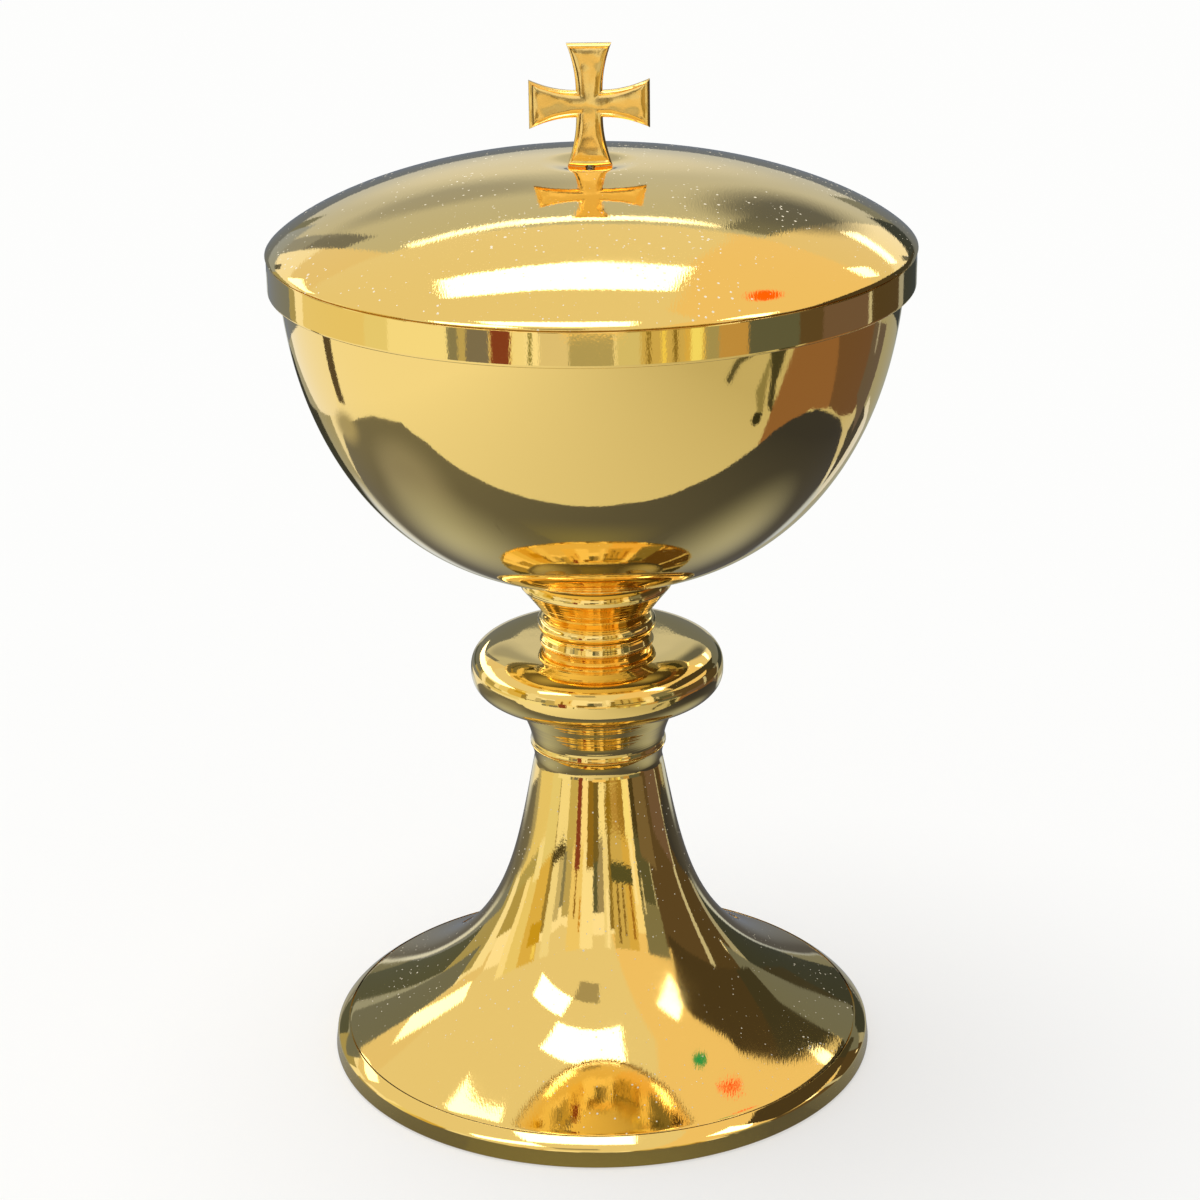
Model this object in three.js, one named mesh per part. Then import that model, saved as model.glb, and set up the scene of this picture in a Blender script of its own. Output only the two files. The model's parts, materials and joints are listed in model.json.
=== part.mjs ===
// A covered ciborium of polished, gold-plated brass, about 231 mm tall.
// Millimetres, +Z up, origin at the centre of the foot on the table.
// The foot, knop and collars are threaded on one tie rod under the cup,
// and the domed cover with its cross lifts off the cup's rim.

import * as THREE from 'three';

// Round stretches: how finely a full turn is cut
const WIDE_SIDES = 48;
const SLIM_SIDES = 36;
const ROD_SIDES = 18;

// Sheet and edges
const footWall = 1.3;
const cupWall = 1.2;
const domeWall = 1.2;
const knopWall = 1.3;
const edgeBreak = 0.5;

// Clearances
const slipGap = 0.3;
const solderGap = 0.15;
const lidGap = 0.3;
const studGap = 0.1;

// Base ring, the heavy turned ring that the foot stands on
const baseRadius = 62;
const baseRingHeight = 6.2;
const baseSkirtHeight = 3.7;
const baseSkirtTaper = 0.4;
const baseShoulderWidth = 2.7;
const baseShoulderKnee = 4.3;
const baseRingWidth = 6;

// Foot, a spun trumpet
const footHeight = 74.4;
const footNeckRadius = 14.4;
const footNeckFlare = 0.9;
const footNeckFlareHeight = 3.6;
const footTaper = 0.19;
const footFlarePower = 4;
const footPointCrowding = 1.3;

// Lower collar
const lowerCollarHeight = 11.4;
const lowerCollarTopRadius = 18.3;
const lowerCollarSag = 0.45;

// Knop, two spun halves over a spacer tube
const knopRadius = 28.2;
const knopHeight = 12.8;
const knopCrownRadius = 16.5;
const knopRoundness = 2.6;
const spacerWall = 1.6;

// Neck and bead
const neckHeight = 2.6;
const neckRadius = 12.1;
const neckFootRadius = 12.7;
const beadHeight = 3.5;
const beadRadius = 13.2;
const beadEdgeRadius = 12;

// Calyx collar, which holds the bowl
const calyxRootRadius = 11.4;
const calyxFlareHeight = 7.2;
const calyxFlareHollow = 1.1;
const calyxLipRadius = 16.8;
const calyxLipHeight = 0.7;
const calyxTopRadius = 13.4;
const calyxShoulderHeight = 2.8;

// Cup
const cupRadius = 66.7;
const cupDepth = 71.8;
const cupFullness = 2.58;
const cupRoundness = 2;
const cupRimBead = 0.5;

// Cover: band, seat ring and dome
const bandClearance = 1.1;
const bandWall = 1.2;
const bandDrop = 6.8;
const seatRingThickness = 0.8;
const seatRingWidth = 4.6;
const seatRingSetback = 0.7;
const domeOverhang = 0.3;
const domeRise = 17.9;
const domeFullness = 2.2;
const domeShoulder = 1.27;
const dipRadius = 11;
const dipDepth = 1.2;

// Cross on the cover
const crossSpan = 25.6;
const crossThickness = 2.2;
const crossUprightEnd = 9.4;
const crossSideEnd = 10.2;
const crossArmThroat = 5.6;
const crossBevel = 0.7;
const crossBevelDepth = 0.45;

// Fasteners
const rodRadius = 3;
const rodTail = 2;
const footNutAcross = 10;
const footNutHeight = 5;
const footWasherRadius = 11.5;
const footWasherThickness = 1.6;
const lockWasherRadius = 5.6;
const lockWasherThickness = 1.4;
const footPlateThickness = 1.8;
const bossRadius = 8;
const bossHeight = 5.2;
const bossRoof = 1.2;
const studRadius = 1;
const studTail = 1;
const finialNutAcross = 4;
const finialNutHeight = 1.6;
const finialWasherRadius = 4;
const finialWasherThickness = 0.5;

// Heights, each worked out from what lies below it
const rodBore = rodRadius + slipGap;
const lowerCollarTop = footHeight + lowerCollarHeight;
const knopTop = lowerCollarTop + knopHeight;
const knopMiddle = lowerCollarTop + knopHeight / 2;
const neckTop = knopTop + neckHeight;
const beadTop = neckTop + beadHeight;
const calyxLipBottom = beadTop + calyxFlareHeight;
const calyxLipTop = calyxLipBottom + calyxLipHeight;
const calyxTop = calyxLipTop + calyxShoulderHeight;
const cupBottom = calyxTop + solderGap;
const cupRim = cupBottom + cupDepth;
const seatRingBottom = cupRim + lidGap;
const seatRingTop = seatRingBottom + seatRingThickness;
const domeRadius = cupRadius + bandClearance + bandWall + domeOverhang;
const domeTop = seatRingTop + domeRise - dipDepth;
const crossBottom = seatRingTop + domeHeight(crossUprightEnd / 2) + solderGap;
const crossMiddle = crossBottom + crossSpan / 2;

// Radii of the cover, worked out from the cup
const bandInner = cupRadius + bandClearance;
const bandOuter = bandInner + bandWall;

const brassGold = (roughness) => new THREE.MeshStandardMaterial({
  color: '#e8bb5c',
  metalness: 1,
  roughness,
});
const satinGold = new THREE.MeshStandardMaterial({ color: '#b59a5e', metalness: 1, roughness: 0.38 });
const plainBrass = new THREE.MeshStandardMaterial({ color: '#c2a35a', metalness: 1, roughness: 0.4 });
const steel = new THREE.MeshStandardMaterial({ color: '#a9acae', metalness: 1, roughness: 0.35 });

// Points of an elliptical arc in the half plane of radius and height, angles in degrees
function arc(radius, height, across, up, from, to, steps) {
  const points = [];
  for (let i = 0; i <= steps; i += 1) {
    const angle = THREE.MathUtils.degToRad(THREE.MathUtils.lerp(from, to, i / steps));
    points.push([radius + across * Math.cos(angle), height + up * Math.sin(angle)]);
  }
  return points;
}

// Points of a bend from one point to another, drawn towards a knee between them
function bend(start, knee, end, steps) {
  const curve = new THREE.QuadraticBezierCurve(
    new THREE.Vector2(...start),
    new THREE.Vector2(...knee),
    new THREE.Vector2(...end),
  );
  return curve.getPoints(steps).map((point) => [point.x, point.y]);
}

// A quarter of a superellipse from the axis out to the radius, falling by the rise
function crown(radius, rise, fullness, shoulder, steps) {
  const points = [];
  for (let i = 0; i <= steps; i += 1) {
    const angle = Math.PI / 2 * i / steps;
    const out = radius * Math.sin(angle) ** (2 / fullness);
    const up = rise * Math.max(Math.cos(angle), 0) ** (2 / shoulder);
    points.push([out, up]);
  }
  return points;
}

// The same line moved to its left by a wall, as a spun sheet's other face is
function offset(points, wall) {
  return points.map(([r, z], i) => {
    const [r0, z0] = points[Math.max(i - 1, 0)];
    const [r1, z1] = points[Math.min(i + 1, points.length - 1)];
    const length = Math.hypot(r1 - r0, z1 - z0);
    return [r - wall * (z1 - z0) / length, z + wall * (r1 - r0) / length];
  });
}

// A solid of revolution about Z from a profile that runs up its outside and back down inside
function turned(name, profile, sides, material) {
  const points = profile.map(([r, z]) => new THREE.Vector2(Math.max(r, 0), z));
  const closed = points[0].x > 0 || points[points.length - 1].x > 0;
  if (closed) points.push(points[0].clone());
  const geometry = new THREE.LatheGeometry(points, sides);
  geometry.rotateX(Math.PI / 2);
  const mesh = new THREE.Mesh(geometry, material);
  mesh.name = name;
  return mesh;
}

// A flat ring with square edges
function flatRing(name, inner, outer, bottom, top, sides, material) {
  return turned(name, [[inner, bottom], [outer, bottom], [outer, top], [inner, top]], sides, material);
}

// A hexagon nut with a round bore
function hexNut(name, across, bore, bottom, height, material) {
  const outline = new THREE.Shape();
  const corner = across / Math.sqrt(3);
  for (let i = 0; i < 6; i += 1) {
    const angle = i * Math.PI / 3;
    const x = corner * Math.cos(angle);
    const y = corner * Math.sin(angle);
    if (i === 0) outline.moveTo(x, y);
    else outline.lineTo(x, y);
  }
  outline.closePath();
  const hole = new THREE.Path();
  hole.absarc(0, 0, bore, 0, 2 * Math.PI, true);
  outline.holes.push(hole);
  const geometry = new THREE.ExtrudeGeometry(outline, {
    depth: height,
    bevelEnabled: false,
    curveSegments: ROD_SIDES / 2,
  });
  const mesh = new THREE.Mesh(geometry, material);
  mesh.name = name;
  mesh.position.z = bottom;
  return mesh;
}

// Base ring: a satin skirt, a sloping polished shoulder and a rebate for the foot's edge
function baseRing() {
  const shoulderBottom = baseRadius - baseSkirtTaper;
  const creaseRadius = shoulderBottom - baseShoulderWidth;
  const shoulderFoot = [shoulderBottom, baseSkirtHeight];
  const shoulderKnee = [shoulderBottom, baseShoulderKnee];
  const inner = baseRadius - baseRingWidth;
  const rebateFloor = baseRingHeight - footWall;
  const profile = [
    [inner, 0],
    [baseRadius - edgeBreak, 0],
    [baseRadius, edgeBreak],
    ...bend(shoulderFoot, shoulderKnee, [creaseRadius, baseRingHeight], 3),
    [creaseRadius, rebateFloor],
    [inner, rebateFloor],
  ];
  return turned('base_ring', profile, WIDE_SIDES, satinGold);
}

// Outside of the foot: a conical neck that opens into a flat flange
function footOutside(edgeRadius, steps) {
  const neckBottom = footHeight - footNeckFlareHeight;
  const drop = neckBottom - baseRingHeight;
  const flare = edgeRadius - footNeckRadius - footTaper * drop;
  const points = [];
  for (let i = 0; i <= steps; i += 1) {
    const share = 1 - (i / steps) ** footPointCrowding;
    const down = share * drop;
    const radius = footNeckRadius + footTaper * down + flare * share ** footFlarePower;
    points.push([radius, neckBottom - down]);
  }
  points.push([footNeckRadius + footNeckFlare / 4, footHeight - footNeckFlareHeight / 2]);
  points.push([footNeckRadius + footNeckFlare, footHeight]);
  return points;
}

// Foot: one spun shell, open at the top of its neck
function footShell() {
  const creaseRadius = baseRadius - baseSkirtTaper - baseShoulderWidth;
  const edgeRadius = creaseRadius - slipGap;
  const outside = footOutside(edgeRadius, 9);
  const inside = offset(footOutside(edgeRadius, 8), footWall).slice(1, -2).reverse();
  const flatFloor = baseRingHeight - footWall;
  const landInner = baseRadius - baseRingWidth;
  const profile = [
    [landInner, flatFloor],
    [edgeRadius, flatFloor],
    ...outside,
    [footNeckRadius - footWall, footHeight],
    ...inside.filter(([r]) => r < landInner),
  ];
  return turned('foot_shell', profile, WIDE_SIDES, brassGold(0.08));
}

// Plate soldered into the top of the neck, which the tie rod passes through
function footPlate() {
  const outer = footNeckRadius - footWall - solderGap;
  const bottom = footHeight - footPlateThickness;
  return flatRing('foot_plate', rodBore, outer, bottom, footHeight, SLIM_SIDES, plainBrass);
}

// Lower collar: a hollow-sided cone from the foot up to the knop
function lowerCollar() {
  const bottomRadius = footNeckRadius + footNeckFlare;
  const side = [];
  const steps = 6;
  for (let i = 0; i <= steps; i += 1) {
    const share = i / steps;
    const straight = THREE.MathUtils.lerp(bottomRadius, lowerCollarTopRadius, share);
    const sag = lowerCollarSag * Math.sin(Math.PI * share);
    side.push([straight - sag, THREE.MathUtils.lerp(footHeight, lowerCollarTop - edgeBreak, share)]);
  }
  const profile = [
    [rodBore, footHeight],
    ...side,
    [lowerCollarTopRadius - edgeBreak, lowerCollarTop],
    [rodBore, lowerCollarTop],
  ];
  return turned('lower_collar', profile, SLIM_SIDES, brassGold(0.1));
}

// One half of the knop: a flattened round shell, its seam at the middle height
function knopHalf(name, sign) {
  const half = knopHeight / 2;
  const rim = (radius, rise, steps) => {
    const round = crown(radius - knopCrownRadius, rise, knopRoundness, knopRoundness, steps);
    return round.map(([r, z]) => [knopCrownRadius + r, z]);
  };
  const outside = [[rodBore, half], ...rim(knopRadius, half, 6)];
  const inside = [...rim(knopRadius - knopWall, half - knopWall, 4).reverse(), [rodBore, half - knopWall]];
  const profile = [...outside, ...inside].map(([r, z]) => [r, knopMiddle + sign * z]);
  if (sign > 0) profile.reverse();
  return turned(name, profile, SLIM_SIDES, brassGold(0.08));
}

// Spacer inside the knop, which carries the pull of the tie rod
function knopSpacer() {
  const inner = rodBore;
  const bottom = lowerCollarTop + knopWall;
  const top = knopTop - knopWall;
  return flatRing('knop_spacer', inner, inner + spacerWall, bottom, top, ROD_SIDES, plainBrass);
}

// Upper neck: a short turned drum with a spread foot
function upperNeck() {
  const profile = [
    [rodBore, knopTop],
    [neckFootRadius, knopTop],
    ...arc(neckFootRadius, neckTop, neckRadius - neckFootRadius, knopTop - neckTop, 90, 0, 4).slice(1),
    [neckRadius, neckTop],
    [rodBore, neckTop],
  ];
  return turned('upper_neck', profile, SLIM_SIDES, brassGold(0.1));
}

// Bead: a ring with a half-round edge
function beadRing() {
  const middle = (neckTop + beadTop) / 2;
  const profile = [
    [rodBore, neckTop],
    ...arc(beadEdgeRadius, middle, beadRadius - beadEdgeRadius, beadHeight / 2, -90, 90, 6),
    [rodBore, beadTop],
  ];
  return turned('bead_ring', profile, SLIM_SIDES, brassGold(0.08));
}

// Calyx: a flared collar with a crisp lip, bored on top for the cup's boss
function calyxCollar() {
  const pocket = bossRadius + slipGap;
  const pocketFloor = cupBottom - solderGap - bossHeight - slipGap;
  const flare = [0, 0.25, 0.5, 0.75, 1].map((share) => [
    THREE.MathUtils.lerp(calyxRootRadius, calyxLipRadius, share ** calyxFlareHollow),
    beadTop + share * calyxFlareHeight,
  ]);
  const lipOverhang = calyxLipRadius - calyxTopRadius;
  const shoulder = arc(calyxTopRadius, calyxLipTop, lipOverhang, calyxShoulderHeight, 0, 90, 3);
  const profile = [
    [rodBore, beadTop],
    ...flare,
    ...shoulder,
    [pocket, calyxTop],
    [pocket, pocketFloor],
    [rodBore, pocketFloor],
  ];
  return turned('calyx_collar', profile, SLIM_SIDES, brassGold(0.09));
}

// Boss under the cup, tapped for the tie rod and blind at the top
function cupBoss() {
  const top = cupBottom - solderGap;
  const bottom = top - bossHeight;
  const profile = [
    [0, top - bossRoof],
    [rodBore, top - bossRoof],
    [rodBore, bottom],
    [bossRadius, bottom],
    [bossRadius, top],
    [0, top],
  ];
  return turned('cup_boss', profile, ROD_SIDES, plainBrass);
}

// Tie rod from the boss down through the stem into the foot
function tieRod() {
  const top = cupBottom - 2 * solderGap - bossRoof;
  const washers = footWasherThickness + lockWasherThickness;
  const bottom = footHeight - footPlateThickness - washers - footNutHeight - rodTail;
  const profile = [
    [0, bottom],
    [rodRadius - edgeBreak, bottom],
    [rodRadius, bottom + edgeBreak],
    [rodRadius, top - edgeBreak],
    [rodRadius - edgeBreak, top],
    [0, top],
  ];
  return turned('tie_rod', profile, ROD_SIDES, steel);
}

// Plain washer, lock washer and nut that clamp the stem from inside the foot
function footFasteners() {
  const washerTop = footHeight - footPlateThickness;
  const washerBottom = washerTop - footWasherThickness;
  const lockBottom = washerBottom - lockWasherThickness;
  const nutBottom = lockBottom - footNutHeight;
  return [
    flatRing('foot_washer', rodBore, footWasherRadius, washerBottom, washerTop, ROD_SIDES, plainBrass),
    flatRing('lock_washer', rodBore, lockWasherRadius, lockBottom, washerBottom, ROD_SIDES, steel),
    hexNut('foot_nut', footNutAcross, rodBore, nutBottom, footNutHeight, steel),
  ];
}

// Cup: a deep spun bowl, nearly upright at the rim and flattened underneath
function cup() {
  const bowl = (steps) => crown(cupRadius, cupDepth, cupFullness, cupRoundness, steps)
    .map(([r, z]) => [r, cupRim - z]);
  const outside = bowl(12);
  const inside = offset(bowl(8), cupWall).reverse();
  inside[inside.length - 1] = [0, cupBottom + cupWall];
  inside[0] = [cupRadius - cupWall, cupRim - cupRimBead];
  const profile = [
    ...outside.slice(0, -1),
    [cupRadius, cupRim - cupRimBead],
    [cupRadius - cupRimBead, cupRim],
    [cupRadius - cupWall + cupRimBead / 4, cupRim],
    ...inside,
  ];
  return turned('cup', profile, WIDE_SIDES, brassGold(0.06));
}

// Seat ring: the flat ring that rests on the cup's rim and carries band and dome
function lidSeatRing() {
  const outer = bandOuter - seatRingSetback;
  const inner = outer - seatRingWidth;
  return flatRing('lid_seat_ring', inner, outer, seatRingBottom, seatRingTop, WIDE_SIDES, brassGold(0.12));
}

// Band: the upright ring of the cover, which hangs outside the cup's rim
function lidBand() {
  const bottom = seatRingBottom - bandDrop;
  const profile = [
    [bandInner, bottom + edgeBreak],
    [bandInner + edgeBreak / 2, bottom],
    [bandOuter - edgeBreak, bottom],
    [bandOuter, bottom + edgeBreak],
    [bandOuter, seatRingBottom],
    [bandInner, seatRingBottom],
  ];
  return turned('lid_band', profile, WIDE_SIDES, brassGold(0.08));
}

// Height of the dome's outside over its rim, with the shallow dip that the cross stands in
function domeHeight(r) {
  const lean = Math.asin((r / domeRadius) ** (domeFullness / 2));
  const dip = dipDepth * (1 - Math.min(r / dipRadius, 1) ** 2) ** 2;
  return domeRise * Math.cos(lean) ** (2 / domeShoulder) - dip;
}

// Dome: the spun top of the cover, with a hole for the cross's stud
function lidDome() {
  const hole = studRadius + studGap;
  const curve = (steps) => {
    const slope = crown(domeRadius, domeRise, domeFullness, domeShoulder, steps).map(([r]) => r);
    const dip = [0.4, 0.7, 1].map((share) => share * dipRadius);
    const radii = [...dip, ...slope.filter((r) => r > dipRadius)].reverse();
    return radii.map((r) => [r, seatRingTop + domeHeight(r)]);
  };
  const outside = [...curve(8), [hole, domeTop]];
  const inside = offset(curve(7), domeWall)
    .filter(([r, z]) => r > hole && z > seatRingTop + edgeBreak)
    .reverse();
  const last = inside[inside.length - 1];
  const profile = [
    [last[0], seatRingTop],
    ...outside,
    [hole, domeTop - domeWall],
    ...inside,
  ];
  return turned('lid_dome', profile, WIDE_SIDES, brassGold(0.07));
}

// One quarter of the cross's outline, from a throat corner round an arm to the next throat
function crossArm(outline, turn, armEnd) {
  const throat = crossArmThroat / 2 - crossBevel;
  const end = armEnd / 2 - crossBevel;
  const reach = crossSpan / 2 - crossBevel;
  const bend = THREE.MathUtils.lerp(throat, reach, 0.5);
  const place = (x, y) => new THREE.Vector2(x, y).rotateAround(new THREE.Vector2(), turn);
  const side = [place(throat, -throat), place(bend, -throat), place(reach, -end)];
  const back = [place(reach, end), place(bend, throat), place(throat, throat)];
  if (turn === 0) outline.moveTo(side[0].x, side[0].y);
  outline.quadraticCurveTo(side[1].x, side[1].y, side[2].x, side[2].y);
  outline.lineTo(back[0].x, back[0].y);
  outline.quadraticCurveTo(back[1].x, back[1].y, back[2].x, back[2].y);
}

// Cross with spreading arms and bevelled edges, its face to the front
function crossFinial() {
  const outline = new THREE.Shape();
  for (let i = 0; i < 4; i += 1) {
    crossArm(outline, i * Math.PI / 2, i % 2 === 0 ? crossSideEnd : crossUprightEnd);
  }
  const geometry = new THREE.ExtrudeGeometry(outline, {
    depth: crossThickness - 2 * crossBevelDepth,
    bevelEnabled: true,
    bevelThickness: crossBevelDepth,
    bevelSize: crossBevel,
    bevelSegments: 1,
    curveSegments: 5,
  });
  geometry.translate(0, 0, crossBevelDepth - crossThickness / 2);
  geometry.rotateX(Math.PI / 2);
  const mesh = new THREE.Mesh(geometry, brassGold(0.12));
  mesh.name = 'cross_finial';
  mesh.position.z = crossMiddle;
  return mesh;
}

// Stud on the cross's foot, with its washer and nut under the dome
function crossFasteners() {
  const bore = studRadius + studGap;
  const washerTop = domeTop - domeWall - solderGap;
  const washerBottom = washerTop - finialWasherThickness;
  const nutBottom = washerBottom - finialNutHeight;
  const studBottom = nutBottom - studTail;
  const studTop = crossBottom - studGap;
  const stud = [[0, studBottom], [studRadius, studBottom], [studRadius, studTop], [0, studTop]];
  return [
    turned('finial_stud', stud, ROD_SIDES, plainBrass),
    flatRing('finial_washer', bore, finialWasherRadius, washerBottom, washerTop, ROD_SIDES, plainBrass),
    hexNut('finial_nut', finialNutAcross, bore, nutBottom, finialNutHeight, plainBrass),
  ];
}

const ciborium = new THREE.Group();
ciborium.name = 'ciborium';
const stem = new THREE.Group();
stem.add(baseRing(), footShell(), footPlate(), ...footFasteners(), lowerCollar());
stem.add(knopHalf('knop_lower_shell', -1), knopHalf('knop_upper_shell', 1), knopSpacer());
stem.add(upperNeck(), beadRing(), calyxCollar(), cupBoss(), tieRod());
const cover = new THREE.Group();
cover.add(lidSeatRing(), lidBand(), lidDome(), crossFinial(), ...crossFasteners());
ciborium.add(stem, cup(), cover);

export default ciborium;
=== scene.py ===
# %% [markdown]
# # A covered ciborium in polished gold plate
# A ciborium is the covered cup that holds communion hosts. This one is spun and turned brass, polished
# to a mirror and gold plated: a deep bowl under a low domed cover with a cross, on a stem of rings and a
# knop, over a trumpet foot. The lesson loads the measured model as a fixed frame, sets the camera, and
# then gives every ring, shell and fastener its fine form and its finish.

# %% Load the measured model
import json
import math

import bpy
import numpy as np
from mathutils import Matrix, Vector

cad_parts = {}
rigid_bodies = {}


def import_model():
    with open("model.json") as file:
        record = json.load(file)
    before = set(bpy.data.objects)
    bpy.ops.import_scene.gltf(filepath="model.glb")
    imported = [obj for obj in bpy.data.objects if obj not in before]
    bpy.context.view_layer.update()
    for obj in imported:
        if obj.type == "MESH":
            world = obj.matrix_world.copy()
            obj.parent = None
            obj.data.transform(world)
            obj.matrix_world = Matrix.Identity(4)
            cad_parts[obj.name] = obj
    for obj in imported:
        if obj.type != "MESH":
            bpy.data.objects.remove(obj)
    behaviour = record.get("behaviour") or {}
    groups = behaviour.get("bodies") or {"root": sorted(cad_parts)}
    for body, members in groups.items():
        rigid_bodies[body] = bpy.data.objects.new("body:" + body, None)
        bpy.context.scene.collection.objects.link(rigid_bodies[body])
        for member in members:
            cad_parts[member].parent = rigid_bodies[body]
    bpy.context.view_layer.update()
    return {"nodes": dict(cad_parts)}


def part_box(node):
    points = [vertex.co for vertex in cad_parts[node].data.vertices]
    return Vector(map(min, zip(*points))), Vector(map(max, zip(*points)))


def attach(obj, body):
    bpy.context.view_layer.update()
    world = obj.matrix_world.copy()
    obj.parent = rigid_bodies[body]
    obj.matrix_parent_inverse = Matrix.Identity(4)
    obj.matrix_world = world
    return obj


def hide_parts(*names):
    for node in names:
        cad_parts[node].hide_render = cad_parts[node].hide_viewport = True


for leftover in list(bpy.data.objects):
    bpy.data.objects.remove(leftover)
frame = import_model()
MM = 0.001

# %% [markdown]
# ## Camera
# The photograph looks down on the cup by about 20.6 degrees from a little over 60 cm away. Both figures
# come from the ellipses of the foot, the band and the dome: how flat each one is gives the pitch, and how
# fast the flatness changes with height gives the distance. The object leans 0.8 degrees to the left in
# the picture, so the camera is rolled by that much.

# %% Set the camera
CAMERA_BACK = 629.06 * MM
CAMERA_UP = 343.66 * MM
CAMERA_PITCH = math.radians(20.57)
CAMERA_ROLL = math.radians(0.80)
FOCAL_PIXELS = 3027.75
PHOTO_PIXELS = 1200
SENSOR = 36.0
SHIFT_PIXELS = 3.72

camera_data = bpy.data.cameras.new("camera")
camera_data.sensor_fit = "HORIZONTAL"
camera_data.sensor_width = SENSOR
camera_data.lens = FOCAL_PIXELS / PHOTO_PIXELS * SENSOR
camera_data.shift_x = SHIFT_PIXELS / PHOTO_PIXELS
camera_data.clip_start = 0.01
camera = bpy.data.objects.new("camera", camera_data)
bpy.context.scene.collection.objects.link(camera)
aim = Matrix.Rotation(math.pi / 2 - CAMERA_PITCH, 4, "X") @ Matrix.Rotation(-CAMERA_ROLL, 4, "Z")
camera.matrix_world = Matrix.Translation((0, -CAMERA_BACK, CAMERA_UP)) @ aim
bpy.context.scene.camera = camera
bpy.context.scene.view_settings.view_transform = "Standard"
print("lens", round(camera_data.lens, 2), "mm")

# %% [markdown]
# ## Outlines in millimetres
# Almost every piece was turned in a lathe, so each one is a half outline swept once round the axis. An
# outline is a list of corners, each with the radius that the polisher's mop left on it. No edge on a
# polished piece is truly sharp, and the thin bright line along each rim is that small radius catching
# the light. Sweeping an outline was chosen over the Screw modifier because the mesh then has no seam.

# %% Helpers for outlines
EDGE_STEPS = 5


def arc(r, z, across, up, start, end, steps):
    """Points on an ellipse in the half plane, angles in degrees."""
    angles = np.radians(np.linspace(start, end, steps + 1))
    return [(r + across * math.cos(a), z + up * math.sin(a)) for a in angles]


def bend(start, knee, end, steps):
    """Points on a quadratic curve from start to end, drawn towards the knee."""
    start, knee, end = (np.array(p, float) for p in (start, knee, end))
    share = np.linspace(0, 1, steps + 1)[:, None]
    curve = (1 - share) ** 2 * start + 2 * share * (1 - share) * knee + share**2 * end
    return [tuple(p) for p in curve]


def crown(radius, rise, fullness, shoulder, steps):
    """A quarter superellipse from the axis outwards, starting at the full rise."""
    angles = np.linspace(0, math.pi / 2, steps + 1)
    return [
        (radius * math.sin(a) ** (2 / fullness), rise * max(math.cos(a), 0) ** (2 / shoulder))
        for a in angles
    ]


def offset(points, wall):
    """The same line moved to its left by the sheet's thickness."""
    line = np.array(points)
    along = np.gradient(line, axis=0)
    along /= np.linalg.norm(along, axis=1)[:, None]
    return [(r - wall * t[1], z + wall * t[0]) for (r, z), t in zip(line, along)]


def softened(corners):
    """Closed outline whose corners (r, z, radius) are rounded; a corner of radius 0 stays."""
    points = []
    count = len(corners)
    for i, (r, z, radius) in enumerate(corners):
        here = np.array([r, z], float)
        before = np.array(corners[i - 1][:2], float) - here
        after = np.array(corners[(i + 1) % count][:2], float) - here
        reach = min(radius, 0.45 * np.linalg.norm(before), 0.45 * np.linalg.norm(after))
        if reach <= 0:
            points.append((r, z))
            continue
        start = here + before / np.linalg.norm(before) * reach
        end = here + after / np.linalg.norm(after) * reach
        points += bend(start, here, end, EDGE_STEPS - 1)
    return points


def hard(points):
    """Points of a curve that is already smooth, marked as corners without a radius."""
    return [(r, z, 0) for r, z in points]


# %% [markdown]
# The sweep makes one ring of vertices for each point of the outline, and a single vertex where the
# outline meets the axis. Smooth shading does the rest, with hard lines only where two faces meet at more
# than 50 degrees, so that a mirror finish shows no facets.

# %% Sweep an outline round the axis
SWEEP_SIDES = 192
HIDDEN_SIDES = 96
SMALL_SIDES = 64
pieces = {}


def finish_mesh(name, vertices, faces, crease=50):
    """A named object from vertices in millimetres, smooth shaded."""
    mesh = bpy.data.meshes.new(name)
    mesh.from_pydata([Vector(v) * MM for v in vertices], [], faces)
    mesh.validate()
    mesh.shade_smooth()
    mesh.set_sharp_from_angle(angle=math.radians(crease))
    piece = bpy.data.objects.new(name, mesh)
    bpy.context.scene.collection.objects.link(piece)
    pieces[name] = piece
    print(name, len(mesh.polygons), "faces")
    return piece


def swept(name, outline, sides=SWEEP_SIDES):
    """A solid of revolution from a closed outline that runs up its outside."""
    outline = [p[:2] for p in outline]
    vertices, rings = [], []
    for r, z in outline:
        if r < 1e-4:
            rings.append([len(vertices)] * sides)
            vertices.append((0, 0, z))
            continue
        rings.append(list(range(len(vertices), len(vertices) + sides)))
        for k in range(sides):
            angle = 2 * math.pi * k / sides
            vertices.append((r * math.cos(angle), r * math.sin(angle), z))
    faces = []
    for lower, upper in zip(rings, rings[1:] + rings[:1]):
        for k in range(sides):
            j = (k + 1) % sides
            face = [lower[k], lower[j], upper[j], upper[k]]
            face = list(dict.fromkeys(face))
            if len(face) > 2:
                faces.append(face)
    return finish_mesh(name, vertices, faces)


# %% [markdown]
# ## Heights along the stem
# The frame already says where each piece starts and ends, so the lesson reads those heights and radii
# instead of writing them twice.

# %% Read the sizes of the frame
def span(node):
    """Bottom, top and outer radius of a node in millimetres."""
    low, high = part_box(node)
    return low.z / MM, high.z / MM, high.x / MM


for node in ("base_ring", "foot_shell", "lower_collar", "knop_upper_shell", "cup", "lid_dome"):
    print(node, [round(v, 2) for v in span(node)])

ROD_BORE = 3.3
SHEET = 1.3
CUP_SHEET = 1.2

# %% [markdown]
# ## Foot
# The trumpet foot is one sheet spun over a former: a slender cone at the neck that opens into a nearly
# flat flange. A straight taper plus a term that grows with the fourth power of the way down gives that
# line with two numbers. It drops into a rebate of the turned base ring, and the fine dark line round the
# flange is that joint. The ring has a mirror-polished sloping shoulder over a satin skirt.

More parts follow.
